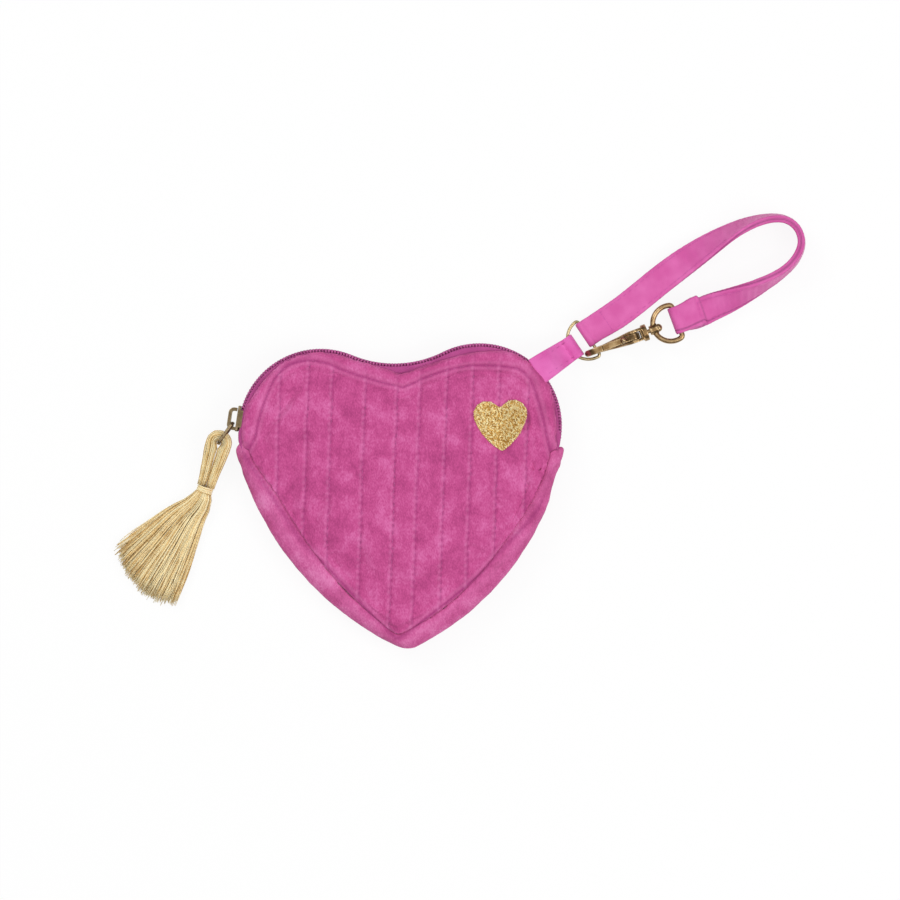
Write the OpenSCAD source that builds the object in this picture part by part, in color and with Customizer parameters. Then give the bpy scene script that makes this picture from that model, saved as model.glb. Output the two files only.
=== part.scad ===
// Heart shaped quilted purse with a zip, a tassel and a clipped wrist strap.
// The purse lies on its back: +Z points up from the table, +Y towards the lobes
// and +X to the strap's side. The origin is on the table, under the heart.

/* [Heart] */
// Distance of each lobe's centre from the heart's middle line
lobe_x = 29.4; // [27.5:0.1:31]
// Height of the lobes' centres along the middle line
lobe_y = 25; // [23:0.1:27]
// Radius of the lobes outside the zip's teeth
lobe_r = 30.8; // [29.5:0.1:32]
// Lowest point of the cleft between the lobes
cleft_y = 49.4; // [47:0.1:51]
// Lowest point of the gusset's outline
tip_y = -56.6; // [-64:0.1:-52]
// Radius of the gusset's outline at the point
tip_r = 9; // [6:0.1:12]
// Radius of the left side's long curve
side_left_r = 111; // [98:1:150]
// Radius of the right side's long curve
side_right_r = 101; // [92:1:150]
// Distance that the gusset swells out past the zip
gusset_puff = 1.4; // [0.5:0.1:2.5]
// Sideways place of the heart's middle line
heart_x = 0.9; // [-3:0.1:3]
// Turn of the heart on the table, in degrees
heart_turn = 2; // [-5:0.5:5]

/* [Quilted panels] */
// Width of the stitched border beside the zip
border_w = 4.6; // [3:0.1:6]
// Radius of the left seam between the front and the gusset
seam_left_r = 150; // [110:1:220]
// Radius of the right seam
seam_right_r = 95; // [85:1:150]
// Sideways place of the seam's point
seam_tip_x = -3.3; // [-5:0.1:2]
// Width of the gusset seen from the front at the point
gusset_tip_w = 6.3; // [4:0.1:8]
// Length over which the left border narrows below the zip
left_taper_l = 22; // [10:1:30]
// Length over which the right border narrows below the zip
right_taper_l = 38; // [15:1:45]
// Radius of each panel at its point
panel_tip_r = 1.6; // [1:0.1:3]
// Space between the two linings
inner_h = 7; // [6.5:0.1:10]
// Thickness of the lining cloth
lining_t = 0.4; // [0.3:0.1:0.6]
// Height of the front's seam over its lining
seam_h = 2.2; // [1.6:0.1:3]
// Rise of the front from its seam to its middle
dome_h = 2.9; // [1.5:0.1:4]
// Thickness of the velvet with its backing
velvet_t = 1.2; // [0.8:0.1:1.5]
// Distance between the quilting lines
quilt_pitch = 10.2; // [8:0.1:13]
// Depth of the quilting lines
quilt_depth = 0.7; // [0.3:0.1:1.2]
// Lean of the quilting lines, in degrees
quilt_lean = 2; // [-4:0.5:4]
// Thickness of the gusset's velvet
gusset_t = 1; // [0.7:0.1:1.4]

/* [Zip] */
// Distance of the zip's teeth inside the gusset's outline
zip_inset = 0.7; // [0.3:0.1:1]
// Thickness of the closed row of teeth
teeth_t = 1.4; // [1:0.1:1.6]
// Width of the closed row of teeth
teeth_w = 4.2; // [3.6:0.1:4.6]
// Distance between the teeth of one row
teeth_pitch = 2; // [1.6:0.1:2.6]
// Overlap of the two rows where they mesh
mesh_w = 1; // [0.6:0.1:1.4]
// Thickness of the zip's tape
tape_t = 0.5; // [0.4:0.1:0.6]
// Angle of the zip's left end below its lobe's centre
zip_left_a = 8; // [4:1:14]
// Angle of the zip's right end below its lobe's centre
zip_right_a = 19; // [10:1:22]
// Length of the slider's body
slider_l = 9.6; // [8:0.1:11]
// Thickness of each of the slider's plates
slider_t = 0.9; // [0.7:0.1:1.2]
// Thickness of the crown's arch
crown_t = 1.3; // [1:0.1:1.5]
// Height of the crown's arch over the slider
crown_h = 3.4; // [3.2:0.1:4]
// Length of the crown's arch
crown_l = 8.4; // [7.6:0.1:9]
// Thickness of the puller's wire
puller_wire = 1.3; // [1:0.1:1.4]
// Length of the puller between its two bars
puller_l = 8.9; // [8:0.1:11]
// Inside width of the puller
puller_w = 4.7; // [4.3:0.1:6]

/* [Tassel] */
// Thickness of the yarn bundle in the tassel's head
bundle_t = 4; // [3.2:0.1:4.2]
// Length of the tassel's head
head_l = 17; // [14:0.5:20]
// Length of the tassel's skirt
skirt_l = 40; // [30:1:50]
// Width of the skirt at its cut end
skirt_w = 29; // [20:1:34]
// Thickness of one turn of the binding
wrap_wire = 0.9; // [0.7:0.1:1.2]

/* [Strap and rings] */
// Width of the wrist strap
strap_w = 11; // [9:0.1:12]
// Thickness of the doubled strap
strap_t = 1.8; // [1.4:0.1:2]
// Width of the strap where it is folded round a bar
fold_w = 10.2; // [9:0.1:10.4]
// Width of the tab at the ring
tab_w = 9; // [8:0.1:9.2]
// Width of the tab where it is sewn in
tab_root_w = 10.8; // [9:0.1:12]
// Thickness of the folded tab
tab_t = 1.5; // [1.2:0.1:1.8]
// Height of the tab's ring and of the hook's axis over the table
lay_z = 5.6; // [5.5:0.1:7]
// Thickness of the D-ring's wire
ring_wire = 1.2; // [1:0.1:1.4]
// Width of the D-ring between its wire's centres
ring_w = 15.4; // [15.2:0.1:16.2]
// Depth of the D-ring between its wire's centres
ring_d = 8; // [7.8:0.1:8.3]
// Thickness of the swivel eye's wire
eye_wire = 2; // [1.6:0.1:2.2]
// Width of the swivel eye between its wire's centres
eye_w = 13; // [12.6:0.1:14]
// Depth of the swivel eye from its bar to its barrel
eye_d = 9.2; // [8.6:0.1:10]

/* [Snap hook] */
// Distance from the barrel's middle to the hook's tip
hook_l = 27.3; // [26.8:0.1:28]
// Height of the hook over all, without its knob
hook_h = 10.4; // [9.8:0.1:10.8]
// Thickness of the hook's bent bar
bar_t = 1.7; // [1.4:0.1:2]
// Width of the hook at its collar
hook_w = 4.8; // [4.4:0.1:5.2]
// Width of the hook at its tip
tip_w = 2.3; // [2:0.1:2.4]
// Radius of the swivel stud
stud_r = 0.8; // [0.7:0.05:0.9]
// Width of the gate
gate_w = 2.3; // [2:0.1:2.5]
// Radius of the gate's pin
pin_r = 0.5; // [0.4:0.05:0.6]

/* [Embroidery] */
// Width of the embroidered heart
badge_w = 20; // [16:0.5:24]
// Height that the stitches stand over the velvet
badge_t = 0.8; // [0.5:0.1:1.2]

/* [Hidden] */
$fn = 48;

velvet = [0.78, 0.32, 0.56];
velvet_dark = [0.68, 0.24, 0.48];
strap_pink = [0.87, 0.4, 0.7];
cloth = [0.72, 0.3, 0.52];
white_wad = [0.93, 0.92, 0.9];
antique = [0.55, 0.44, 0.3];
silk_gold = [0.84, 0.71, 0.47];
stitch_gold = [0.85, 0.7, 0.36];

// Running clearance of a wire or pin in its hole
run = 0.08;
// Clearance between pieces that pass each other
clear = 0.3;

// Plain helpers
function rot2(p, a) = [p[0] * cos(a) - p[1] * sin(a), p[0] * sin(a) + p[1] * cos(a)];
function pos_angle(v) = (atan2(v[1], v[0]) + 360) % 360;
function mix(a, b, t) = a + (b - a) * t;
function limit(x, low, high) = min(max(x, low), high);
function smooth(x) = let (t = limit(x, 0, 1)) t * t * (3 - 2 * t);
function last(list) = list[len(list) - 1];

// A heart is four kinds of arc that run into each other: lobes, cleft, sides and point.
// h = [lobe_x, lobe_y, lobe radius, left side radius, right side radius, tip_y, tip radius, cleft_y,
//      sideways place of the point]
function side_centre(h, r, side) = let (
    lobe = [h[0], h[1]], point = [side * h[8], h[5] + h[6]],
    d = norm(lobe - point), u = (lobe - point) / d,
    to_lobe = r - h[2], to_point = r - h[6],
    m = (to_point * to_point - to_lobe * to_lobe + d * d) / (2 * d),
    n = sqrt(to_point * to_point - m * m))
    point + u * m + [-u[1], u[0]] * n;
function cleft_r(h) = let (k = h[7] - h[1])
    (h[0] * h[0] + k * k - h[2] * h[2]) / (2 * (h[2] - k));
// Arcs as [centre, radius, start angle, end angle, 1 outward or -1 for the cleft],
// anticlockwise from the cleft: cleft, left lobe, left side, point, right side, right lobe, cleft
function heart_arcs(h) = let (
    left = [-h[0], h[1]], right = [h[0], h[1]],
    cr = cleft_r(h), top = [0, h[7] + cr], point = [h[8], h[5] + h[6]],
    cl = side_centre(h, h[3], -1), side_l = [-cl[0], cl[1]], side_r = side_centre(h, h[4], 1),
    af = atan2(top[1] - h[1], h[0]),
    al = pos_angle(left - side_l), tl = pos_angle(point - side_l),
    tr = pos_angle(point - side_r), ar = pos_angle(right - side_r))
    [[top, cr, 270, 180 + af, -1], [left, h[2], af, al, 1], [side_l, h[3], al, tl, 1],
     [point, h[6], tl, tr, 1], [side_r, h[4], tr, ar, 1], [right, h[2], ar, 540 - af, 1],
     [top, cr, 360 - af, 270, -1]];
// A heart moved inwards by d keeps its arcs' centres
function inset_heart(h, d) = [h[0], h[1], h[2] - d, h[3] - d, h[4] - d, h[5] + d, h[6] - d, h[7] - d, h[8]];
function on_arc(a, t, d = 0) = let (angle = mix(a[2], a[3], t))
    a[0] + (a[1] - a[4] * d) * [cos(angle), sin(angle)];
function clip_end(a, angle) = [a[0], a[1], a[2], angle, a[4]];
function clip_start(a, angle) = [a[0], a[1], angle, a[3], a[4]];

outline = [lobe_x, lobe_y, lobe_r, side_left_r, side_right_r, tip_y, tip_r, cleft_y, 0];
gusset_outline = [lobe_x, lobe_y, lobe_r + gusset_puff, side_left_r, side_right_r, tip_y, tip_r, cleft_y, 0];
// The velvet's edge beside the zip, and the seam along the gusset
edge_inset = zip_inset + teeth_t + 1;
groove_inset = edge_inset + border_w;
panel = [lobe_x, lobe_y, lobe_r - groove_inset, seam_left_r, seam_right_r,
    tip_y + gusset_tip_w, panel_tip_r, cleft_y - groove_inset, seam_tip_x];

mid_z = lay_z + 2.9;
front_z = mid_z + inner_h / 2 + lining_t;
back_z = mid_z - inner_h / 2 - lining_t;

module heart_place() translate([heart_x, 0, 0]) rotate([0, 0, heart_turn]) children();

// Width of the velvet outside the groove or seam: it narrows from the zip's ends downwards
seam_lip = 0.8;
left_end_y = lobe_y - lobe_r * sin(zip_left_a);
right_end_y = lobe_y - lobe_r * sin(zip_right_a);
function lip_width(q) = mix(seam_lip, border_w,
    smooth(1 + (q[0] < 0 ? (q[1] - left_end_y) / left_taper_l : (q[1] - right_end_y) / right_taper_l)));

// The lower part of a heart between the zip's two ends, anticlockwise from the left.
// Where a zip's end lies below its lobe, the long side arc ends there and is split in two
function shared_end(side, lobe, lobe_end, height, turn) = let (low = turn + asin((height - side[0][1]) / side[1]))
    (lobe_end - lobe[2]) * (lobe[3] - lobe[2]) > 0 ? [side, clip_end(lobe, lobe_end)] :
    let (m = mix(side[2], low, 0.86)) [clip_end(side, m), clip_start(clip_end(side, low), m)];
function shared_start(lobe, side, lobe_start, height) = let (high = 180 - asin((height - side[0][1]) / side[1]))
    lobe_start < lobe[3] ? [clip_start(lobe, lobe_start), side] :
    let (m = mix(high, side[3], 0.14)) [clip_end(clip_start(side, high), m), clip_start(side, m)];
function lower_arcs(h) = let (a = heart_arcs(h))
    concat(shared_start(a[1], a[2], 180 + zip_left_a, left_end_y), [a[3]],
        shared_end(a[4], a[5], 360 - zip_right_a, right_end_y, 360));
lower_steps = [2, 12, 7, 12, 2];
function lower_path(h, d = 0) = let (arcs = lower_arcs(h))
    [for (k = [0:4]) for (j = [0:lower_steps[k] - (k == 4 ? 0 : 1)]) on_arc(arcs[k], j / lower_steps[k], d)];
// The gusset meets the front 0.1 outside the lip of the front's velvet
function seam_path(d) = let (arcs = lower_arcs(panel))
    [for (k = [0:4]) for (j = [0:lower_steps[k] - (k == 4 ? 0 : 1)]) let (t = j / lower_steps[k])
        on_arc(arcs[k], t, d - 0.1 - lip_width(on_arc(arcs[k], t)))];

// The zip's line: right lobe, cleft and left lobe
zip_heart = inset_heart(outline, zip_inset);
zip_arcs = let (a = heart_arcs(zip_heart))
    [clip_start(a[5], 360 - zip_right_a), [a[0][0], a[0][1], a[6][2], a[0][3], -1],
     clip_end(a[1], 180 + zip_left_a)];
function arc_length(a) = abs(a[3] - a[2]) * a[1] * PI / 180;
function along(arcs, s, d, k = 0) = let (l = arc_length(arcs[k]))
    s > l && k < len(arcs) - 1 ? along(arcs, s - l, d, k + 1) : on_arc(arcs[k], s / l, d);
// Length of the zip's line up to an angle on the left lobe
function zip_length_to(angle) = arc_length(zip_arcs[0]) + arc_length(zip_arcs[1])
    + (angle - zip_arcs[2][2]) * zip_arcs[2][1] * PI / 180;

// A tape's wall along the zip's line; a tape is thinner all round by e.
// The cleft's piece is a hair thinner, and its ends lie inside the lobes' pieces
module zip_wall(side) {
    join = 0.3;
    edge_z = side > 0 ? front_z : back_z;
    for (k = [0:2]) {
        a = zip_arcs[k];
        e = k == 1 ? 0.01 : 0;
        profile = [[tape_inset + e, mid_z + side * (tape_gap + e)],
            [tape_inset + tape_t - e, mid_z + side * (tape_gap + e)],
            [tape_inset + tape_t - e, edge_z - side * (tape_t - e)], [leg_end - e, edge_z - side * (tape_t - e)],
            [leg_end - e, edge_z - side * e], [tape_inset + e, edge_z - side * e]];
        translate([a[0][0], a[0][1], 0]) rotate([0, 0, min(a[2], a[3]) - (k == 2 ? join : 0)])
            rotate_extrude(angle = abs(a[3] - a[2]) + (k == 1 ? 0 : join), $fn = 96)
                polygon([for (p = profile) [a[1] - a[4] * p[0], p[1]]]);
    }
}

// Quilted panels.
// Columns stand side by side across the heart and lean with the quilting lines.
lean = heart_turn + quilt_lean;
panel_arcs = heart_arcs(panel);
function column_centre(k) = rot2(panel_arcs[k][0], lean);
function column_x_at(k, t) = rot2(on_arc(panel_arcs[k], t), lean)[0];
top_breaks = [column_x_at(1, 0), column_x_at(5, 1)];
low_breaks = [column_x_at(1, 1), column_x_at(2, 1), column_x_at(3, 1), column_x_at(4, 1)];
function top_arc(x) = x < top_breaks[0] ? 1 : x < top_breaks[1] ? 0 : 5;
function low_arc(x) = x < low_breaks[0] ? 1 : x < low_breaks[1] ? 2 : x < low_breaks[2] ? 3
    : x < low_breaks[3] ? 4 : 5;
function reach(k, x) = let (c = column_centre(k), r = panel_arcs[k][1])
    sqrt(max(r * r - pow(x - c[0], 2), 0));
function top_y(x) = let (k = top_arc(x)) column_centre(k)[1] + panel_arcs[k][4] * reach(k, x);
function low_y(x) = let (k = low_arc(x)) column_centre(k)[1] - reach(k, x);
// The last columns stop just short of the lobes' widest points
end_gap = 0.3;
x_low = column_centre(1)[0] - panel[2] + end_gap;
x_high = column_centre(5)[0] + panel[2] - end_gap;
quilt_x0 = quilt_pitch / 2;
quarter = quilt_pitch / 4;
first_k = ceil((x_low + 4 - quilt_x0) / quarter);
last_k = floor((x_high - 4 - quilt_x0) / quarter);
columns = concat(
    [for (i = [0:2]) mix(x_low, quilt_x0 + first_k * quarter, pow(i / 3, 2))],
    [for (k = [first_k:last_k]) quilt_x0 + k * quarter],
    [for (i = [1:3]) mix(quilt_x0 + last_k * quarter, x_high, 1 - pow(1 - i / 3, 2))]);
nc = len(columns) - 1;
nr = 8;
// The first and last columns bow out along their lobe's arc
function column_point(i, j) = let (
    y = mix(low_y(columns[i]), top_y(columns[i]), (1 - cos(180 * j / nr)) / 2),
    k = i == 0 ? 1 : 5, c = column_centre(k), r = panel_arcs[k][1], bow = sqrt(max(r * r - pow(y - c[1], 2), 0)))
    j == 0 || j == nr || (i > 0 && i < nc) ? [columns[i], y] : [c[0] + (i == 0 ? -bow : bow), y];
// 0 at the edge of a panel and 1 over its middle
function swell(x, y) = let (
    v = limit((y - low_y(x)) / max(top_y(x) - low_y(x), 0.01), 0, 1),
    u = limit((2 * x - x_low - x_high) / (x_high - x_low), -1, 1))
    pow(4 * v * (1 - v), 0.45) * pow(1 - pow(u, 4), 0.6);
function row_puff(x) = abs(sin(180 * (x - quilt_x0) / quilt_pitch));
function front_top(x, y) = let (s = swell(x, y))
    front_z + seam_h + dome_h * s - quilt_depth * s * (1 - row_puff(x));
function front_under(x, y) = front_z + (seam_h + dome_h - velvet_t - quilt_depth) * swell(x, y);
function back_under(x, y) = back_z - (back_z - velvet_t) * swell(x, y);
// Numbers of the grid's points along a panel's edge, anticlockwise
function grid_index(i, j) = i * (nr + 1) + j;
edge_loop = concat([for (i = [0:nc]) [i, 0]], [for (j = [1:nr - 1]) [nc, j]],
    [for (i = [nc:-1:0]) [i, nr]], [for (j = [nr - 1:-1:1]) [0, j]]);
function loop_arc(e) = e[0] == nc && e[1] > 0 && e[1] < nr ? 5 : e[0] == 0 && e[1] > 0 && e[1] < nr ? 1
    : e[1] == 0 ? low_arc(columns[e[0]]) : top_arc(columns[e[0]]);
function outward(e) = let (k = loop_arc(e), v = column_point(e[0], e[1]) - column_centre(k))
    panel_arcs[k][4] * v / norm(v);
// 1 beside the zip and 0 beside the gusset
function beside_zip(p) = let (q = rot2(p, -lean))
    smooth((q[1] - (q[0] < 0 ? left_end_y : right_end_y)) / 5 + 0.6);
function ring_point(e, share, up_zip, up_seam) = let (
    p = column_point(e[0], e[1]), b = beside_zip(p), w = lip_width(rot2(p, -lean)),
    q = p + outward(e) * w * share)
    [q[0], q[1], mix(up_seam, up_zip, b)];
function grid_points(under, z_of) = [for (i = [0:nc]) for (j = [0:nr]) let (p = column_point(i, j))
    [p[0], p[1], z_of(p[0], p[1])]];
function grid_faces(offset, up) = [for (i = [0:nc - 1]) for (j = [0:nr - 1]) let (
    a = offset + grid_index(i, j), b = offset + grid_index(i + 1, j),
    c = offset + grid_index(i + 1, j + 1), d = offset + grid_index(i, j + 1))
    each (up ? [[a, c, b], [a, d, c]] : [[a, b, c], [a, c, d]])];
function edge_numbers(offset) = [for (e = edge_loop) offset + grid_index(e[0], e[1])];
function run_numbers(offset, n) = [for (i = [0:n - 1]) offset + i];
// Faces between two loops; the second lies outside or below the first
function band_faces(a, b) = let (n = len(a)) [for (i = [0:n - 1]) let (k = (i + 1) % n)
    each [[a[i], a[k], b[k]], [a[i], b[k], b[i]]]];
function flip(faces) = [for (f = faces) [for (i = [len(f) - 1:-1:0]) f[i]]];

ne = len(edge_loop);
ng = (nc + 1) * (nr + 1);
// Rings from the groove to the velvet's outer edge: [share of the border, height beside the zip
// and height beside the gusset, both over the lining]
front_rings = [[0.5, seam_h + 0.5, seam_h - 0.3], [0.88, seam_h - 0.5, seam_h - 0.8],
    [1, 0.6, seam_h - 1.4], [0.94, 0, 0]];

module quilted_front() {
    rings = [for (r = front_rings) for (e = edge_loop)
        ring_point(e, r[0], front_z + r[1], front_z + r[2])];
    points = concat(grid_points(0, function (x, y) front_top(x, y)), rings,
        grid_points(0, function (x, y) front_under(x, y)));
    loops = concat([edge_numbers(0)], [for (k = [0:3]) run_numbers(ng + k * ne, ne)],
        [edge_numbers(ng + 4 * ne)]);
    faces = concat(grid_faces(0, true), [for (k = [0:4]) each band_faces(loops[k], loops[k + 1])],
        grid_faces(ng + 4 * ne, false));
    polyhedron(points, faces, convexity = 6);
}

// A lens between the velvet's inner face and the flat lining
module wadding(z_of, flat_z, up) {
    points = grid_points(0, z_of);
    faces = concat(grid_faces(0, up), [up ? edge_numbers(0) : flip([edge_numbers(0)])[0]]);
    polyhedron(points, faces, convexity = 4);
}

module lining(z) {
    rim = [for (e = edge_loop) let (q = ring_point(e, 0.4, 0, 0)) [q[0], q[1]]];
    translate([0, 0, z]) linear_extrude(lining_t) polygon(rim);
}

// The back lies flat on the table: its rim curves down to one level face
flat_rim = [[0, 1], [0.03, 0.45], [0.07, 0.12], [0.11, 0]];
module quilted_back() {
    heart_middle = [0, 2];
    inner = [for (r = flat_rim) for (e = edge_loop) let (p = column_point(e[0], e[1]))
        [mix(p[0], heart_middle[0], r[0]), mix(p[1], heart_middle[1], r[0]), (back_z - seam_h) * r[1]]];
    rings = [for (r = front_rings) for (e = edge_loop)
        ring_point(e, r[0], back_z - r[1], back_z - r[2])];
    points = concat(inner, rings, grid_points(0, function (x, y) back_under(x, y)));
    n_in = len(flat_rim);
    loops = concat([for (k = [n_in - 1:-1:0]) run_numbers(k * ne, ne)],
        [for (k = [0:3]) run_numbers((n_in + k) * ne, ne)], [edge_numbers((n_in + 4) * ne)]);
    faces = concat([loops[0]], flip([for (k = [0:len(loops) - 2]) each band_faces(loops[k], loops[k + 1])]),
        flip(grid_faces((n_in + 4) * ne, false)));
    polyhedron(points, faces, convexity = 6);
}

module columns_place() heart_place() rotate([0, 0, -lean]) children();

module front_panel() color(velvet) columns_place() quilted_front();
module front_wadding() color(white_wad) columns_place()
    wadding(function (x, y) front_under(x, y), front_z, true);
module front_lining() color(cloth) columns_place() lining(front_z - lining_t);
module back_panel() color(velvet) columns_place() quilted_back();
module back_wadding() color(white_wad) columns_place()
    wadding(function (x, y) back_under(x, y), back_z, false);
module back_lining() color(cloth) columns_place() lining(back_z);

// Gusset: a band whose section bulges outwards between the two seams
gusset_half = mid_z - back_z + seam_h - 0.9;
function half_section(h, n) = [for (i = [0:n]) let (a = 180 * i / n - 90) [cos(a), h * sin(a)]];
module gusset_band(depth, t, half_h, n) {
    outer = lower_path(gusset_outline, depth);
    inner = lower_path(gusset_outline, depth + t);
    seam_out = seam_path(0);
    seam_in = seam_path(0.02);
    wall_out = half_section(half_h, n);
    wall_in = half_section(half_h - t, n);
    count = len(outer);
    points = [for (s = [0:count - 1]) each concat(
        [for (w = wall_out) let (p = mix(seam_out[s], outer[s], w[0])) [p[0], p[1], mid_z + w[1]]],
        [for (k = [n:-1:0]) let (w = wall_in[k], p = mix(seam_in[s], inner[s], w[0])) [p[0], p[1], mid_z + w[1]]])];
    m = 2 * (n + 1);
    faces = concat([run_numbers(0, m)],
        [for (s = [0:count - 2]) for (k = [0:m - 1]) let (
            a = s * m + k, b = s * m + (k + 1) % m, c = (s + 1) * m + (k + 1) % m, d = (s + 1) * m + k)
            each [[a, d, c], [a, c, b]]],
        [flip([run_numbers((count - 1) * m, m)])[0]]);
    polyhedron(points, flip(faces), convexity = 6);
}
module bottom_gusset() color(velvet) heart_place() gusset_band(0, gusset_t, gusset_half, 8);
module gusset_lining() color(cloth) heart_place()
    gusset_band(gusset_t + 0.05, lining_t, inner_h / 2 + lining_t - 0.05, 6);

// Zip tapes: an upright leg behind the teeth and a level leg sewn under the velvet's edge
tape_inset = teeth_t + 0.02;
leg_end = edge_inset - zip_inset + 2;
tape_gap = mesh_w / 2 + 0.4;
module zip_tape_front() color(velvet_dark) heart_place() zip_wall(1);
module zip_tape_back() color(velvet_dark) heart_place() zip_wall(-1);

// Slider and teeth: the teeth end where the slider's wedge begins
slider_a = 169.3;
wedge_l = 2;
chain_r = zip_heart[2] - teeth_t / 2;
degree_l = PI / 180 * chain_r;
teeth_start = 5;
teeth_end = zip_length_to(slider_a + (slider_l / 2 - wedge_l - 1) / degree_l);
teeth_count = floor((teeth_end - teeth_start) / teeth_pitch);
// One row: a cord with pointed heads that reach between the other row's heads
module teeth_row(side) {
    steps = 2 * teeth_count;
    points = [for (k = [0:steps]) let (
        s = teeth_start + (k + (side > 0 ? 0 : 1)) * teeth_pitch / 2,
        p = along(zip_arcs, s, 0), q = along(zip_arcs, s, teeth_t),
        low = mid_z + side * (k % 2 == 0 ? -mesh_w / 2 : mesh_w / 2 + 0.4),
        high = mid_z + side * teeth_w / 2)
        each [[p[0], p[1], low], [p[0], p[1], high], [q[0], q[1], high], [q[0], q[1], low]]];
    faces = concat([run_numbers(0, 4)],
        [for (s = [0:steps - 1]) for (k = [0:3]) let (
            a = s * 4 + k, b = s * 4 + (k + 1) % 4, c = (s + 1) * 4 + (k + 1) % 4, d = (s + 1) * 4 + k)
            each [[a, d, c], [a, c, b]]],
        [flip([run_numbers(steps * 4, 4)])[0]]);
    polyhedron(points, side > 0 ? flip(faces) : faces, convexity = 10);
}
module zip_teeth_front() color(velvet_dark) heart_place() teeth_row(1);
module zip_teeth_back() color(velvet_dark) heart_place() teeth_row(-1);

module on_left_lobe(angle) translate([-lobe_x, lobe_y, mid_z]) rotate([0, 0, angle]) children();
stop_l = 1.6;
module zip_top_stop() color(antique) heart_place()
    for (side = [-1, 1])
        on_left_lobe(slider_a + (slider_l / 2 + 0.4 + stop_l / 2) / degree_l)
            translate([chain_r - teeth_t / 2 + 0.02, -stop_l / 2, side > 0 ? 0.7 : -teeth_w / 2])
                cube([teeth_t, stop_l, teeth_w / 2 - 0.7]);
module zip_bottom_stop() color(antique) heart_place()
    translate([lobe_x, lobe_y, mid_z])
        rotate([0, 0, -zip_right_a + (teeth_start - stop_l) / degree_l])
            translate([chain_r - teeth_t / 2 + 0.02, -stop_l / 2, -teeth_w / 2]) cube([teeth_t, stop_l, teeth_w]);

// Slider's own frame: x outwards from the purse, y towards the zip's closed end
module slider_place() heart_place() on_left_lobe(slider_a) translate([chain_r, 0, 0]) children();
flange_in = teeth_w / 2 + 0.4;
flange_out = flange_in + 0.6;
plate_out = teeth_t / 2 + clear;
plate_in = -teeth_t / 2 - tape_t - clear - slider_l * slider_l / 8 / (chain_r - 1.2) ;
module plate_outline(w, l) union() {
    square([w, l - w * 0.6], center = true);
    for (side = [-1, 1]) translate([0, side * (l / 2 - w * 0.3)]) scale([1, 0.6]) circle(d = w);
}
module zip_slider() color(antique) slider_place() union() {
    for (x = [plate_out, plate_in - slider_t])
        translate([x, 0, 0]) rotate([0, 90, 0]) translate([0, 0, 0])
            linear_extrude(slider_t) intersection() {
                square([2 * flange_out, slider_l], center = true);
                circle(d = slider_l + 1.2);
            }
    for (side = [-1, 1])
        translate([-0.4, -slider_l / 2 + 1.6, side > 0 ? flange_in : -flange_out])
            cube([plate_out + 0.5, slider_l - 3.2, flange_out - flange_in]);
    translate([plate_in - 0.1, slider_l / 2 - wedge_l - 0.3, 0])
        rotate([0, 90, 0]) linear_extrude(plate_out - plate_in + 0.2)
            polygon([[-0.7, 0.4], [0, 0], [0.7, 0.4], [0.7, wedge_l], [-0.7, wedge_l]]);
}

plate_top = plate_out + slider_t;
crown_w = 2;
crown_front = slider_l / 2 - 0.3;
crown_back = crown_front - crown_l;
arch_r = (crown_h + 0.7) / 2;
module slider_crown() color(antique) slider_place() translate([plate_top, 0, -crown_w / 2])
    linear_extrude(crown_w) {
        for (end = [crown_front - arch_r, crown_back + arch_r])
            translate([crown_h - arch_r, end]) difference() {
                circle(arch_r);
                circle(arch_r - crown_t);
                translate([-arch_r - 1, -arch_r - 1]) square([arch_r + 1, 2 * arch_r + 2]);
                translate([-1, end > 0 ? -arch_r - 1 : 0]) square([arch_r + 2, arch_r + 1]);
            }
        translate([crown_h - crown_t, crown_back + arch_r])
            square([crown_t, crown_l - 2 * arch_r]);
        translate([0, crown_front - crown_t]) square([crown_h - arch_r, crown_t]);
        translate([0.4, crown_back]) square([crown_h - arch_r - 0.4, crown_t]);
    }

// Puller: a closed wire link; its upper bar lies in the crown's arch
pull_bar = [plate_top + crown_h - crown_t - puller_wire / 2 - 0.1, crown_front - crown_t - puller_wire / 2 - 0.5];
pull_a = 26;
pull_side = (puller_w + puller_wire) / 2;
bend_r = puller_wire / 2 + 0.5;
module puller_place() slider_place() translate([pull_bar[0], pull_bar[1], 0]) rotate([0, 0, -pull_a]) children();
module round_bar(l, d) rotate([-90, 0, 0]) cylinder(h = l, d = d);
module wire_bend(r, d, angle = 90) rotate_extrude(angle = angle) translate([r, 0]) circle(d = d);
module zip_puller() color(antique) puller_place() {
    for (side = [-1, 1])
        translate([0, bend_r, side * pull_side]) round_bar(puller_l - 2 * bend_r, puller_wire);
    for (end = [0, puller_l])
        translate([0, end, -pull_side + bend_r]) cylinder(h = 2 * (pull_side - bend_r), d = puller_wire);
    for (end = [0, 1]) for (side = [-1, 1])
        translate([0, end == 0 ? bend_r : puller_l - bend_r, side * (pull_side - bend_r)])
            rotate([0, 90, 0]) rotate([0, 0, end == 0 ? (side > 0 ? 180 : 270) : (side > 0 ? 90 : 0)])
                wire_bend(bend_r, puller_wire);
}

// Tassel: a bundle doubled over the puller's lower bar, bound at its neck
tassel_bar = puller_l;
head_a = 16.6;
neck_z = 3.6;
module tassel_place() puller_place() translate([0, tassel_bar, 0]) rotate([0, 0, head_a]) children();
turn_r = puller_wire / 2 + clear + bundle_t / 2;
bundle_h = (puller_w - 2 * clear - 0.1) / 2;
neck_half = bundle_t * 0.85;
loop_gap = puller_wire / 2 + clear;
neck_gap = 0.06;
head_turns = 8;
leg_steps = 6;
// Points of the head's path: [x, y, z, direction, half thickness]
function head_path() = concat(
    [for (i = [leg_steps:-1:1]) leg_point(i / leg_steps, -1)],
    [for (i = [0:head_turns]) let (a = 180 + 180 * i / head_turns)
        [turn_r * cos(a), turn_r * sin(a), 0, a - 90, bundle_t / 2]],
    [for (i = [1:leg_steps]) leg_point(i / leg_steps, 1)]);
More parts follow.
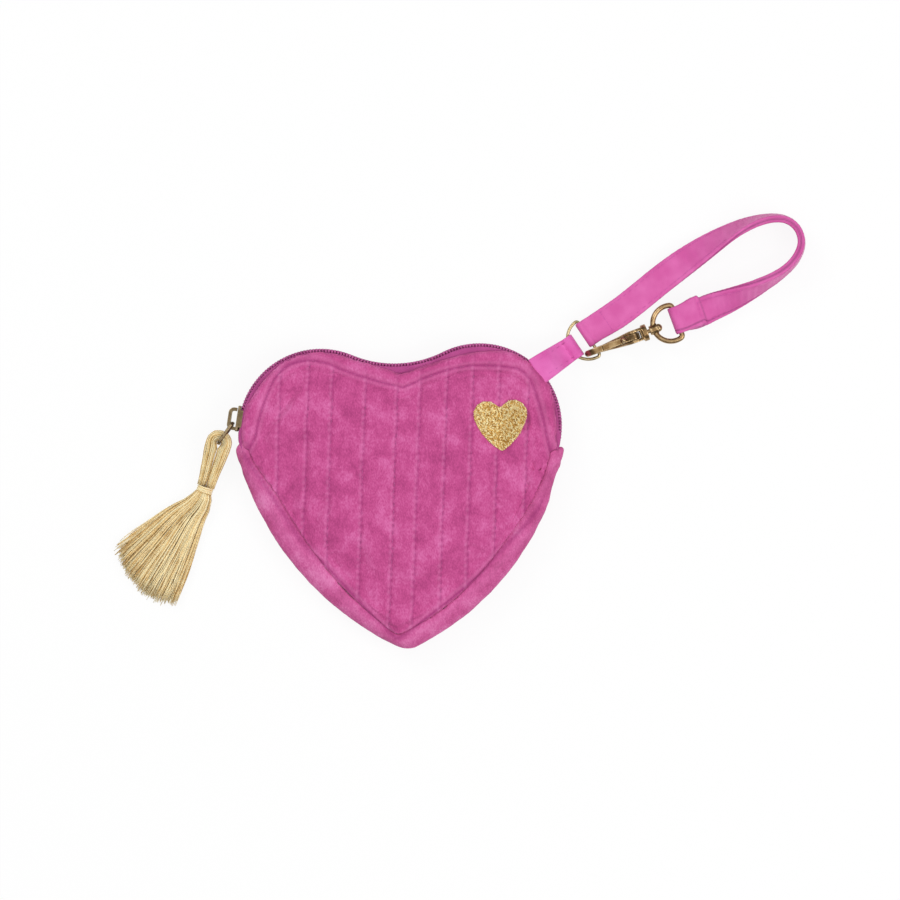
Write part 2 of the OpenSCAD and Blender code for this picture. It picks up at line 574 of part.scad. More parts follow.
// The two legs close up under the bar and narrow towards the neck
function leg_point(t, side) = let (
    outside = mix(turn_r + bundle_t / 2, neck_half, smooth(t)), inside = mix(loop_gap, neck_gap, smooth(t * 2.6)))
    [side * (outside + inside) / 2, t * head_l, mix(0, neck_z - mid_z, t), side < 0 ? 90 : 270, (outside - inside) / 2];
module tube(path, sides, tall) {
    n = len(path);
    points = [for (p = path) for (k = [0:sides - 1]) let (a = 360 * k / sides, side = p[3] - 90)
        [p[0] + p[4] * cos(a) * cos(side), p[1] + p[4] * cos(a) * sin(side), p[2] + tall * sin(a)]];
    faces = concat([run_numbers(0, sides)],
        [for (s = [0:n - 2]) for (k = [0:sides - 1]) let (
            a = s * sides + k, b = s * sides + (k + 1) % sides,
            c = (s + 1) * sides + (k + 1) % sides, d = (s + 1) * sides + k)
            each [[a, d, c], [a, c, b]]],
        [flip([run_numbers((n - 1) * sides, sides)])[0]]);
    polyhedron(points, faces, convexity = 6);
}
module tassel_loop() color(silk_gold) tassel_place() tube(head_path(), 12, bundle_h);

wrap_turns = 3;
wrap_r = 3.1;
wrap_l = wrap_wire * (1.1 + 0.85 * (wrap_turns - 1)) + 0.05;
module tassel_wrap() color(silk_gold) tassel_place()
    for (i = [0:wrap_turns - 1])
        translate([0, head_l + wrap_wire * (0.55 + 0.85 * i), neck_z - mid_z])
            rotate([-90, 0, 0]) rotate_extrude() translate([wrap_r - wrap_wire / 2, 0]) circle(d = wrap_wire, $fn = 24);

skirt_sides = 28;
skirt_steps = 9;
// The skirt leans to one side and its cut end turns further
skirt_lean = -14;
skirt_turn = -26;
module tassel_skirt() color(silk_gold) tassel_place() {
    neck_r = wrap_r - wrap_wire - 0.03;
    floor_z = 0.15 - mid_z;
    points = [for (s = [0:skirt_steps]) for (k = [0:skirt_sides - 1]) let (
        t = max(s - 1, 0) / (skirt_steps - 1), a = 360 * k / skirt_sides,
        fold = 1 + (s > 1 && sin(a) > 0.01 ? 0.05 : 0) * (k % 2 == 0 ? 1 : -1),
        half_w = mix(neck_r, skirt_w / 2, pow(t, 0.85)), half_t = mix(neck_r, 2.2, smooth(t * 2)) * fold,
        cut = s == skirt_steps ? 0.8 * sin(k * 137) : 0,
        turn = skirt_turn * t, lean_t = skirt_lean * smooth(t * 3), spread = cos(a) * half_w,
        l = (s == 0 ? 0.05 : wrap_l + (skirt_l - wrap_l) * t * (1 - 0.13 * pow(cos(a), 2))) + cut,
        centre = neck_z - mid_z + (half_t + floor_z - neck_z + mid_z) * smooth(t * 3))
        [spread * cos(turn) - l * sin(lean_t), head_l + l * cos(lean_t) + spread * sin(turn),
         max(centre + half_t * sin(a), floor_z)]];
    cut_end = skirt_steps * skirt_sides;
    middle = ([for (k = [0:skirt_sides - 1]) 1] * [for (k = [0:skirt_sides - 1]) points[cut_end + k]])
        / skirt_sides;
    faces = concat([run_numbers(0, skirt_sides)],
        [for (s = [0:skirt_steps - 1]) for (k = [0:skirt_sides - 1]) let (
            a = s * skirt_sides + k, b = s * skirt_sides + (k + 1) % skirt_sides,
            c = (s + 1) * skirt_sides + (k + 1) % skirt_sides, d = (s + 1) * skirt_sides + k)
            each [[a, d, c], [a, c, b]]],
        [for (k = [0:skirt_sides - 1]) [len(points), cut_end + (k + 1) % skirt_sides, cut_end + k]]);
    polyhedron(concat(points, [middle]), flip(faces), convexity = 6);
}

// Embroidered heart on the front, its stitches sunk into the velvet
badge_place = [37.2, 26.3];
badge_turn = 3;
// Depth to which the stitches sink into the pile
badge_sunk = 0.1;
module heart_badge() color(stitch_gold) {
    k = badge_w / 20;
    small = [5 * k, 4 * k, 5 * k, 22 * k, 22 * k, -9.6 * k, 1.2 * k, 6.6 * k, 0];
    arcs = heart_arcs(small);
    rim = [for (a = arcs) for (j = [0:4]) on_arc(a, j / 5)];
    n = len(rim);
    shares = [1, 0.93, 0.72, 0.48, 0.24];
    rises = [0.3, 0.8, 1, 1, 1];
    placed = function (p, share) let (q = rot2(p * share, badge_turn) + badge_place)
        rot2([q[0] - heart_x, q[1]], quilt_lean);
    level = function (q) front_top(q[0], q[1]);
    points = concat(
        [for (i = [0:4]) for (p = rim) let (q = placed(p, shares[i])) [q[0], q[1], level(q) + badge_t * rises[i]]],
        [for (i = [0:4]) for (p = rim) let (q = placed(p, shares[i])) [q[0], q[1], level(q) - badge_sunk]],
        [for (z = [badge_t, -badge_sunk]) let (q = placed([0, 0], 1)) [q[0], q[1], level(q) + z]]);
    faces = concat(
        [for (i = [0:3]) each band_faces(run_numbers((i + 1) * n, n), run_numbers(i * n, n))],
        [for (i = [0:n - 1]) [10 * n, 4 * n + (i + 1) % n, 4 * n + i]],
        band_faces(run_numbers(0, n), run_numbers(5 * n, n)),
        [for (i = [0:3]) each band_faces(run_numbers((i + 5) * n, n), run_numbers((i + 6) * n, n))],
        [for (i = [0:n - 1]) [10 * n + 1, 9 * n + i, 9 * n + (i + 1) % n]]);
    translate([heart_x, 0, 0]) rotate([0, 0, -quilt_lean]) polyhedron(points, faces, convexity = 4);
}

// Tab and D-ring. Their own frame: x along the tab, away from the purse, origin at the ring's swing axis
strap_a = 34;
ring_r = 1;
ring_shift = 0.95;
tab_shift = 0.5;
tab_reach = 15.2;
fold_r = 0.95 + ring_wire / 2 + 0.15;
tab_layer = tab_t / 2;
// The ring's swing axis: how far it stands out from the right lobe's edge, and in which direction
ring_out = 21.3415;
ring_from = 39.7469;
right_lobe = [heart_x + lobe_x * cos(heart_turn) - lobe_y * sin(heart_turn),
    lobe_x * sin(heart_turn) + lobe_y * cos(heart_turn)];
bar_place = right_lobe + (lobe_r + ring_out) * [cos(ring_from), sin(ring_from)];
bar_ahead = fold_r + tab_layer + 3.1 + ring_wire / 2 + run + strap_t / 2;
module ring_place() translate([bar_place[0], bar_place[1], lay_z]) rotate([0, 0, strap_a]) children();
module tab_place() ring_place() translate([-bar_ahead, 0, 0]) children();

tab_rise = front_z + tab_t / 2 + 0.05 - lay_z;
function bend4(p, t) = pow(1 - t, 3) * p[0] + 3 * t * pow(1 - t, 2) * p[1] + 3 * t * t * (1 - t) * p[2] + pow(t, 3) * p[3];
tab_curve = [[-tab_reach, tab_rise], [-tab_reach + 7, tab_rise + 0.4], [-7.5, 1.2], [-fold_r * 0.4, 0]];
tab_steps = 14;
module tab_strip() polygon(concat(
    [for (i = [0:tab_steps]) tab_side(i / tab_steps, 1)],
    [for (i = [tab_steps:-1:0]) tab_side(i / tab_steps, -1)]));
function tab_side(t, side) = let (e = 0.01, a = max(t - e, 0), b = min(t + e, 1),
    d = bend4(tab_curve, b) - bend4(tab_curve, a)) bend4(tab_curve, t) + side * tab_t / 2 * [-d[1], d[0]] / norm(d);
module ring_tab() color(strap_pink) tab_place() translate([0, -tab_shift, 0]) intersection() {
    rotate([90, 0, 0]) difference() {
        union() {
            cylinder(h = 2 * tab_root_w, r = fold_r + tab_layer, center = true);
            linear_extrude(2 * tab_root_w, center = true) tab_strip();
        }
        cylinder(h = 3 * tab_root_w, r = fold_r, center = true);
    }
    translate([0, 0, -10]) linear_extrude(30) polygon([[10, -tab_w / 2], [10, tab_w / 2], [-fold_r, tab_w / 2],
        [-tab_reach - 1, tab_root_w / 2], [-tab_reach - 1, -tab_root_w / 2], [-fold_r, -tab_w / 2]]);
}

// A D of wire in the XY plane: a straight bar along Y at x = 0 and a bow towards -x.
// Each corner is a hair thicker, so that it takes in the ends of the bar and the bow
function bow_r(w, d, r) = let (a = w / 2 - r)
    (a * a + (d - r) * (d - r) - r * r) / (2 * (d - 2 * r));
module wire_d(w, d, r, wire) {
    b = bow_r(w, d, r);
    turn = atan2(w / 2 - r, d - r - b);
    translate([0, -w / 2 + r, 0]) rotate([-90, 0, 0]) cylinder(h = w - 2 * r, d = wire);
    for (side = [-1, 1]) translate([-r, side * (w / 2 - r), 0]) rotate([0, 0, side > 0 ? -2 : -turn - 2])
        rotate_extrude(angle = turn + 4) translate([r, 0]) circle(d = wire + 0.02);
    translate([b - d, 0, 0]) rotate([0, 0, turn])
        rotate_extrude(angle = 360 - 2 * turn) translate([b, 0]) circle(d = wire);
}
module tab_d_ring() color(antique) ring_place() translate([0, -ring_shift, 0])
    wire_d(ring_w, ring_d, ring_r, ring_wire);

// Wrist strap: a flat tape that stands on its edge round the bend
hook_a = 20.2;
// The hook's nose keeps its place over the ring, and the barrel lies a hook's length from it
hook_seat = bar_place + [-0.97086, -7.02664];
barrel_place = hook_seat + hook_l * [cos(hook_a), sin(hook_a)];
eye_bar = barrel_place + eye_d * [cos(hook_a), sin(hook_a)];
eye_shift = 0.3;
strap_end = eye_bar + eye_shift * [-sin(hook_a), cos(hook_a)];
fold_shift = 0.9;
strap_start = bar_place + fold_shift * [-sin(strap_a), cos(strap_a)];
// Middle line of the strap on the table, from the D-ring's bar round to the eye's bar
strap_route = concat([strap_start + 3 * [cos(strap_a), sin(strap_a)]],
    [for (p = [[13.5, 9.85], [29, 22.25], [42.3, 31.85], [54.5, 39.45], [64.5, 43.15], [72.5, 43.55],
        [77.7, 40.25], [79.5, 34.45], [77.1, 28.25], [71.5, 22.85]]) bar_place + p],
    [for (p = [[29.319, 11.792], [19.619, 7.392], [12.719, 4.692], [7.819, 2.492]]) strap_end + p],
    [strap_end + 3.1 * [cos(hook_a), sin(hook_a)]]);
// Roll of the tape at each point of the route, in degrees
strap_roll = [0, 0, 8, 34, 62, 78, 82, 82, 82, 82, 80, 66, 40, 20, 6, 0];
function spline(list, k, t) = let (
    n = len(list), a = list[max(k - 1, 0)], b = list[k], c = list[min(k + 1, n - 1)], d = list[min(k + 2, n - 1)])
    0.5 * (2 * b + (c - a) * t + (2 * a - 5 * b + 4 * c - d) * t * t + (3 * b - a - 3 * c + d) * t * t * t);
strap_steps = 4;
strap_lay = [for (k = [0:len(strap_route) - 2]) for (j = [0:strap_steps - 1])
    [spline(strap_route, k, j / strap_steps), spline(strap_roll, k, j / strap_steps)]];
strap_stations = concat(strap_lay, [[last(strap_route), 0]]);
module strap_run() {
    n = len(strap_stations);
    section = [[-strap_w / 2, -strap_t / 2 + 0.4], [-strap_w / 2 + 0.4, -strap_t / 2], [strap_w / 2 - 0.4, -strap_t / 2],
        [strap_w / 2, -strap_t / 2 + 0.4], [strap_w / 2, strap_t / 2 - 0.4], [strap_w / 2 - 0.4, strap_t / 2],
        [-strap_w / 2 + 0.4, strap_t / 2], [-strap_w / 2, strap_t / 2 - 0.4]];
    points = [for (i = [0:n - 1]) let (
        p = strap_stations[i][0], roll = strap_stations[i][1],
        v = strap_stations[min(i + 1, n - 1)][0] - strap_stations[max(i - 1, 0)][0], u = v / norm(v),
        inward = i == 0 ? [sin(strap_a), -cos(strap_a)] : i == n - 1 ? [-sin(hook_a), cos(hook_a)] : [u[1], -u[0]],
        narrow = i < 3 ? mix(fold_w / strap_w, 1, i / 3) : i > n - 4 ? mix(fold_w / strap_w, 1, (n - 1 - i) / 3) : 1)
        for (s = section) let (a = s[0] * narrow, b = s[1] * (i > n - 2 - strap_steps ? 2 : 1))
            [p[0] + inward[0] * (a * cos(roll) - b * sin(roll)), p[1] + inward[1] * (a * cos(roll) - b * sin(roll)),
             lay_z + a * sin(roll) + b * cos(roll)]];
    faces = concat([run_numbers(0, 8)],
        [for (s = [0:n - 2]) for (k = [0:7]) let (
            a = s * 8 + k, b = s * 8 + (k + 1) % 8, c = (s + 1) * 8 + (k + 1) % 8, d = (s + 1) * 8 + k)
            each [[a, d, c], [a, c, b]]],
        [flip([run_numbers((n - 1) * 8, 8)])[0]]);
    polyhedron(points, flip(faces), convexity = 8);
}
// A fold of the tape round a bar along Y, with its two layers running to +x
module strap_fold(wire, l, t) translate([0, fold_w / 2, 0]) rotate([90, 0, 0]) linear_extrude(fold_w)
    difference() {
        union() {
            circle(wire / 2 + run + strap_t / 2 + 0.05);
            translate([0, -t / 2 - 0.05]) square([l, t + 0.1]);
        }
        circle(wire / 2 + run);
    }
module wrist_strap() color(strap_pink) {
    strap_run();
    ring_place() translate([0, fold_shift, 0]) strap_fold(ring_wire, 3.2, strap_t);
    translate([strap_end[0], strap_end[1], lay_z]) rotate([0, 0, hook_a]) strap_fold(eye_wire, 3.4, strap_t * 2);
}

// Swivel: the eye's barrel turns on the hook's stud
barrel_r = 1.75;
barrel_l = 3.2;
eye_r = 1.2;
module hook_place() translate([barrel_place[0], barrel_place[1], lay_z]) rotate([0, 0, 180 + hook_a]) children();
module swivel_eye() color(antique) difference() {
    union() {
        translate([eye_bar[0], eye_bar[1], lay_z]) rotate([0, 0, hook_a]) wire_d(eye_w, eye_d, eye_r, eye_wire);
        hook_place() translate([-barrel_l / 2, 0, 0]) rotate([0, 90, 0]) cylinder(h = barrel_l, r = barrel_r);
    }
    hook_place() translate([-barrel_l, 0, 0]) rotate([0, 90, 0]) cylinder(h = 2 * barrel_l, r = stud_r + run);
}

collar_x = barrel_l / 2 + 1;
collar_t = 1.9;
collar_r = hook_w * 0.65;
head_r = 1.55;
module swivel_stud() color(antique) hook_place() {
    translate([-barrel_l / 2 - 0.15, 0, 0]) rotate([0, 90, 0]) cylinder(h = collar_x + barrel_l / 2 + 0.15, r = stud_r);
    translate([-barrel_l / 2 - 0.1, 0, 0]) intersection() {
        sphere(head_r);
        translate([-4, -2, -2]) cube(4);
    }
}

// Hook's own frame: x from the barrel to the tip, z up; the bent bar lies in the XZ plane
body_x = collar_x + collar_t;
bend_out = hook_h / 2;
bend_in = bend_out - bar_t;
bend_x = hook_l - bend_out;
gate_pivot = [body_x + 3.4, 1.9];
cheek_end = body_x + 9.6;
nose_x = bend_x - 1.5;
module hook_side() {
    polygon([[body_x - 0.3, -hook_w / 2], [body_x + 4.5, -bend_out], [bend_x, -bend_out], [bend_x, -bend_in],
        [cheek_end + 1.6, -bend_in], [cheek_end, -bend_in + 1.4], [cheek_end - 2.6, 2.4],
        [gate_pivot[0] + 0.9, 3.6], [gate_pivot[0] - 1, 3.5], [body_x - 0.3, hook_w / 2]]);
    difference() {
        translate([bend_x, 0]) circle(bend_out, $fn = 96);
        translate([bend_x, 0]) circle(bend_in, $fn = 96);
        translate([-1, -bend_out - 1]) square([bend_x + 1, bend_out + 1]);
        translate([-1, -0.1]) square([bend_x + 1, bend_out + 1]);
    }
    translate([nose_x, bend_in]) square([bend_x - nose_x + 0.05, bar_t]);
}
module hook_plan() {
    polygon([[body_x - 1, -hook_w / 2], [body_x + 5, -hook_w / 2], [bend_x - 1, -tip_w / 2], [hook_l - tip_w / 3, -tip_w / 2],
        [hook_l, -tip_w / 6], [hook_l, tip_w / 6],
        [hook_l - tip_w / 3, tip_w / 2], [bend_x - 1, tip_w / 2], [body_x + 5, hook_w / 2], [body_x - 1, hook_w / 2]]);
}
channel_w = gate_w + 0.3;
module hook_body() color(antique) hook_place() difference() {
    union() {
        translate([collar_x, 0, 0]) rotate([0, 90, 0]) cylinder(h = collar_t, r = collar_r);
        intersection() {
            translate([0, hook_w, 0]) rotate([90, 0, 0]) linear_extrude(2 * hook_w) hook_side();
            translate([0, 0, -hook_h]) linear_extrude(2 * hook_h) hook_plan();
        }
    }
    translate([body_x + 0.8, -channel_w / 2, -bend_in]) cube([cheek_end - body_x + 1, channel_w, hook_h]);
    translate([gate_pivot[0], hook_w, gate_pivot[1]]) rotate([90, 0, 0]) cylinder(h = 2 * hook_w, r = pin_r);
    translate([collar_x - 1, 0, 0]) rotate([0, 90, 0]) cylinder(h = 1, r = stud_r);
}
module gate_pin() color(antique) hook_place() translate([gate_pivot[0], hook_w / 2, gate_pivot[1]])
    rotate([90, 0, 0]) cylinder(h = hook_w, r = pin_r);
gate_end = nose_x - 0.25;
gate_t = bar_t - 0.2;
knob_x = body_x + 7.8;
module hook_gate() color(antique) hook_place() translate([0, gate_w / 2, 0]) rotate([90, 0, 0]) {
    linear_extrude(gate_w) difference() {
        union() {
            translate(gate_pivot) circle(pin_r + 0.9);
            polygon([[gate_pivot[0], gate_pivot[1] + pin_r + 0.9], [gate_pivot[0] + 3.4, bend_in + gate_t],
                [gate_end, bend_in + gate_t], [gate_end, bend_in + 0.1], [gate_pivot[0] + 4.4, bend_in + 0.1],
                [gate_pivot[0] + 1, gate_pivot[1] - pin_r - 0.4]]);
        }
        translate(gate_pivot) circle(pin_r + 0.05);
    }
    translate([knob_x, bend_in + gate_t - 0.3, gate_w / 2]) rotate([-90, 0, 0]) {
        cylinder(h = 1, r = 0.95);
        translate([0, 0, 1]) intersection() {
            sphere(0.95);
            translate([-1, -1, 0]) cube(2);
        }
    }
}
// Leaf spring: rises from the channel's floor to the gate's underside
leaf_t = 0.3;
leaf_rise = bend_in * 2 - 0.6;
module gate_spring() color(antique) hook_place() translate([0, gate_w * 0.35, 0]) rotate([90, 0, 0])
    linear_extrude(gate_w * 0.7) polygon([
        [body_x + 0.9, -bend_in + 0.02], [body_x + 3, -bend_in + 0.02], [body_x + 9.2, bend_in - 0.1],
        [body_x + 8.8, bend_in - 0.1], [body_x + 2.8, -bend_in + 0.02 + leaf_t], [body_x + 0.9, -bend_in + 0.02 + leaf_t]]);

front_panel();
front_wadding();
front_lining();
back_panel();
back_wadding();
back_lining();
bottom_gusset();
gusset_lining();
zip_tape_front();
zip_tape_back();
zip_teeth_front();
zip_teeth_back();
zip_top_stop();
zip_bottom_stop();
zip_slider();
slider_crown();
zip_puller();
tassel_loop();
tassel_wrap();
tassel_skirt();
heart_badge();
ring_tab();
tab_d_ring();
wrist_strap();
swivel_eye();
swivel_stud();
hook_body();
hook_gate();
gate_pin();
gate_spring();
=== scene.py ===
import math
import random
import bpy
import numpy as np
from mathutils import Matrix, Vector, noise
from mathutils.bvhtree import BVHTree


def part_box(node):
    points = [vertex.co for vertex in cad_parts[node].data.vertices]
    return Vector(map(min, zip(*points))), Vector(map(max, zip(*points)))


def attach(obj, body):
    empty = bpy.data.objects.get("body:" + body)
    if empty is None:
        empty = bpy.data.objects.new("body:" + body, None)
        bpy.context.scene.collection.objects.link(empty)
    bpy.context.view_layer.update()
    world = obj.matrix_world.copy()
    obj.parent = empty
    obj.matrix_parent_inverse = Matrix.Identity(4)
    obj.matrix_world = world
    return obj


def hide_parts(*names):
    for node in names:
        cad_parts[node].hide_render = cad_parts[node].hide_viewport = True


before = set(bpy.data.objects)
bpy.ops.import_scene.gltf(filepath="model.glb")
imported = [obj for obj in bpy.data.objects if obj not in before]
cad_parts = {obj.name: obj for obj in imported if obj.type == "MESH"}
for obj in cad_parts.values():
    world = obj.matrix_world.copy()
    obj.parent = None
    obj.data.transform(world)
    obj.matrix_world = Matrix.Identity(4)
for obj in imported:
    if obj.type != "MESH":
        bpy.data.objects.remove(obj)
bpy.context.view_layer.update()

# Studio. The purse lies flat on a white table and is photographed from straight above with a long
# lens. Light is soft and even, from a bright room and two large lamps, so shadows are faint.
photo_centre = Vector((0.0185, 0.0170, 0.008))
camera_height = 1.111
camera_data = bpy.data.cameras.new("studio_camera")
camera_data.lens = 120
camera_data.sensor_width = 36
camera_data.clip_start = 0.05
camera = bpy.data.objects.new("studio_camera", camera_data)
camera.location = photo_centre + Vector((0, 0, camera_height))
bpy.context.scene.collection.objects.link(camera)
bpy.context.scene.camera = camera
bpy.context.scene.view_settings.view_transform = "Standard"


def linear(code):
    parts = [int(code[i:i + 2], 16) / 255 for i in (1, 3, 5)]
    return [p / 12.92 if p <= 0.04045 else ((p + 0.055) / 1.055) ** 2.4 for p in parts] + [1.0]


def add(tree, kind, inputs=None, stops=(), **settings):
    """Adds a shader node. An input is a value, a socket or a node, which stands for its first output;
    the stops of a ramp are its two ends and then what lies between"""
    made = tree.nodes.new("ShaderNode" + kind)
    for key, value in settings.items():
        setattr(made, key, value)
    for key, value in (inputs or {}).items():
        value = value.outputs[0] if isinstance(value, bpy.types.Node) else value
        if isinstance(value, bpy.types.NodeSocket):
            tree.links.new(value, made.inputs[key])
        else:
            made.inputs[key].default_value = value
    for n, (at, colour) in enumerate(stops):
        stop = made.color_ramp.elements[n] if n < 2 else made.color_ramp.elements.new(at)
        stop.position, stop.color = at, colour
    return made


def new_material(name):
    """An empty material, its tree and the place on the piece"""
    material = bpy.data.materials.new(name)
    material.use_nodes = True
    material.node_tree.nodes.clear()
    return material, material.node_tree, add(material.node_tree, "TexCoord").outputs["Object"]


# White laminate table: pure white to the camera and in the brass, with a faint shadow
table_white, tree, place = new_material("white_laminate_table")
paper = add(tree, "BsdfDiffuse", {"Color": linear("#FAFAFA"), "Roughness": 1.0})
glow = add(tree, "Emission", {"Color": (1, 1, 1, 1), "Strength": 1.0})
path = add(tree, "LightPath")
seen = add(tree, "Math", {0: path.outputs["Is Camera Ray"], 1: path.outputs["Is Glossy Ray"]},
           operation="MAXIMUM")
share = add(tree, "Math", {0: seen, 1: 0.9}, operation="MULTIPLY")
mixed = add(tree, "MixShader", {0: share, 1: paper, 2: glow})
add(tree, "OutputMaterial", {"Surface": mixed})
bpy.ops.object.select_all(action="DESELECT")
bpy.ops.mesh.primitive_plane_add(size=6, location=(0, 0, -0.0002))
table_top = bpy.context.object
table_top.name = "table_top"
table_top.data.materials.append(table_white)

world = bpy.data.worlds.new("bright_room")
world.use_nodes = True
tree = world.node_tree
tree.nodes.clear()
# Bright overhead and dark towards the walls, so that metal has something to mirror
way_out = add(tree, "TexCoord").outputs["Generated"]
upwards = add(tree, "SeparateXYZ", {"Vector": way_out}).outputs["Z"]
by_height = add(tree, "ValToRGB", {0: upwards},
                stops=[(0.2, (0.08, 0.08, 0.08, 1)), (0.92, (1, 1, 1, 1)), (0.7, (0.36, 0.36, 0.36, 1))])
by_height.color_ramp.interpolation = "EASE"
room = add(tree, "Background", {"Color": by_height, "Strength": 1.15})
add(tree, "OutputWorld", {"Surface": room})
bpy.context.scene.world = world
for lamp_name, spot, size, power in (("key_softbox", (-0.75, 0.75, 0.95), 0.6, 5.6),
                                     ("fill_softbox", (0.9, -0.3, 1.0), 0.8, 7.0)):
    lamp_data = bpy.data.lights.new(lamp_name, "AREA")
    lamp_data.size = size
    lamp_data.energy = power
    lamp = bpy.data.objects.new(lamp_name, lamp_data)
    lamp.location = spot
    lamp.rotation_euler = (photo_centre - Vector(spot)).to_track_quat("-Z", "Y").to_euler()
    bpy.context.scene.collection.objects.link(lamp)

# Front panel. Cotton velvet quilted in upright rows over wadding, with a running stitch beside the
# zip as a border. The machine stitches pull the pile down, and the cloth puckers beside them.
MM = 0.001
groove_left = [(-57.4, 14.8), (-55.4, 17.6), (-53.2, 21.9), (-52.1, 26.8), (-49.7, 34.9), (-46, 43.1),
               (-40.9, 48), (-34.2, 49.8), (-27, 48.9), (-20.7, 46.3), (-9.3, 42.6), (-3, 41), (1.1, 40)]
groove_right = [(1.1, 40), (5, 41.6), (9.6, 43.7), (18.5, 46.7), (27.6, 48.1), (37.4, 47.8), (43.7, 46.7),
                (47, 44), (49.3, 40), (52.6, 29.3), (54.4, 20.4), (55.6, 15.9), (57.8, 10.4)]
seam_right = [(57.8, 10.4), (56.3, 3.3), (48.1, -8.5), (35.6, -21.9), (25.9, -31.9), (7, -47), (2.5, -50.6),
              (-0.2, -52.4)]
seam_left = [(-0.2, -52.4), (-3, -50.8), (-13.7, -40), (-27, -25.6), (-35.6, -17.4), (-45.2, -3),
             (-52.2, 7.8), (-57.4, 14.8)]
# Where the velvet's own edge lies beside the zip: it laps over the teeth on the lobes and draws back
# at the cleft, where the tape shows
velvet_edge = [(-59.3, 14), (-59.1, 19.4), (-57.6, 30.9), (-53.8, 38.2), (-48.9, 44.6), (-43.1, 50.4),
               (-36.7, 53.9), (-28.5, 54.7), (-22, 53.7), (-12.1, 49.6), (-4, 46.8), (0.9, 45.4),
               (8.2, 48), (18.9, 51.3), (28.6, 53.3), (36.8, 53.9), (43.3, 53), (48.8, 50.2),
               (54.2, 44.3), (57, 36.6), (58, 26.8), (58.4, 21.1), (59.6, 17.8), (59.6, 12)]
quilt_lines = [-55.5, -45.2, -34.8, -25.9, -13.7, -2.0, 6.5, 16.3, 25.9, 35.6, 46.3, 56.5]
# The lines lean by 2 degrees, and these are their places across where Y is 2.2 mm
quilt_slope, line_level = math.tan(math.radians(2)), 2.2
front_z, seam_rise, dome_rise = 12.4, 2.2, 2.9
middle, heart_radius = np.array([1.0, 12.0]), 60
badge_middle = np.array([37.2, 26.0])
straight_down = Vector((0, 0, -1))


def smooth_run(points, steps=8):
    p = [np.array(q, float) for q in points]
    run = []
    for k in range(len(p) - 1):
        a, b, c, d = p[max(k - 1, 0)], p[k], p[k + 1], p[min(k + 2, len(p) - 1)]
        for t in np.arange(steps) / steps:
            run.append(0.5 * (2 * b + (c - a) * t + (2 * a - 5 * b + 4 * c - d) * t * t
                              + (3 * b - a - 3 * c + d) * t ** 3))
    return run + [p[-1]]


def distance_to(run, points):
    """Distance in mm from each point to a run of straight pieces"""
    best = np.full(len(points), 1e9)
    for a, b in zip(run[:-1], run[1:]):
        ab = b - a
        t = np.clip(((points - a) @ ab) / max(np.linalg.norm(ab) ** 2, 1e-9), 0, 1)
        best = np.minimum(best, np.linalg.norm(points - a - t[:, None] * ab, axis=1))
    return best


def lengths_along(run):
    """How many mm along a run each of its points lies"""
    return np.concatenate([[0], np.cumsum(np.linalg.norm(np.diff(run, axis=0), axis=1))])


def point_at(run, lengths, s):
    return np.array([np.interp(s, lengths, column) for column in run.T])


def inside_of(run, points):
    inside = np.zeros(len(points), bool)
    for a, b in zip(run, run[1:] + run[:1]):
        if a[1] == b[1]:
            continue
        crosses = (a[1] > points[:, 1]) != (b[1] > points[:, 1])
        x = a[0] + (points[:, 1] - a[1]) * (b[0] - a[0]) / (b[1] - a[1])
        inside ^= crosses & (points[:, 0] < x)
    return inside


groove_run = smooth_run(groove_left) + smooth_run(groove_right)[1:]
seam_run = smooth_run(seam_right) + smooth_run(seam_left)[1:]
panel_run = groove_run + seam_run[1:]


def step(low, high, x):
    t = np.clip((x - low) / (high - low), 0, 1)
    return t * t * (3 - 2 * t)


def grain(points, size, seed):
    """Smooth noise from -1 to 1 whose features are size mm across"""
    return np.array([noise.noise(Vector((x / size + seed, y / size, seed * 0.7))) for x, y in points])


def pick(piece):
    bpy.ops.object.select_all(action="DESELECT")
    piece.select_set(True)
    bpy.context.view_layer.objects.active = piece


def worked_copy(node, name, voxel):
    """A copy of a CAD node, merged and remeshed to even squares of voxel mm"""
    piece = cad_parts[node].copy()
    piece.data = piece.data.copy()
    piece.parent = None
    piece.name = name
    piece.hide_render = False
    piece.data.materials.clear()
    for key in list(piece.keys()):
        del piece[key]
    bpy.context.scene.collection.objects.link(piece)
    piece.hide_set(False)
    piece.hide_viewport = False
    pick(piece)
    bpy.ops.object.mode_set(mode="EDIT")
    bpy.ops.mesh.select_all(action="SELECT")
    bpy.ops.mesh.remove_doubles(threshold=0.000005)
    bpy.ops.object.mode_set(mode="OBJECT")
    modified(piece, "REMESH", mode="VOXEL", voxel_size=voxel * MM)
    bpy.ops.object.shade_smooth()
    return piece


def modified(piece, kind, **settings):
    pick(piece)
    modifier = piece.modifiers.new(kind.lower(), kind)
    for key, value in settings.items():
        setattr(modifier, key, value)
    bpy.ops.object.modifier_apply(modifier=modifier.name)


def points_of(piece):
    co = np.zeros(len(piece.data.vertices) * 3)
    piece.data.vertices.foreach_get("co", co)
    return co.reshape(-1, 3)


def move_points(piece, co):
    piece.data.vertices.foreach_set("co", co.ravel())
    piece.data.update()


def mesh_piece(name, points, faces):
    mesh = bpy.data.meshes.new(name)
    mesh.from_pydata(points, [], faces)
    piece = bpy.data.objects.new(name, mesh)
    bpy.context.scene.collection.objects.link(piece)
    for polygon in mesh.polygons:
        polygon.use_smooth = True
    return piece


def surface_of(piece):
    return BVHTree.FromPolygons([v.co for v in piece.data.vertices],
                                [p.vertices for p in piece.data.polygons])


def spot_below(surface, x, y):
    """The place and the normal where a surface is met from above, with x and y in mm"""
    return surface.ray_cast(Vector((x * MM, y * MM, 0.03)), straight_down)[:2]


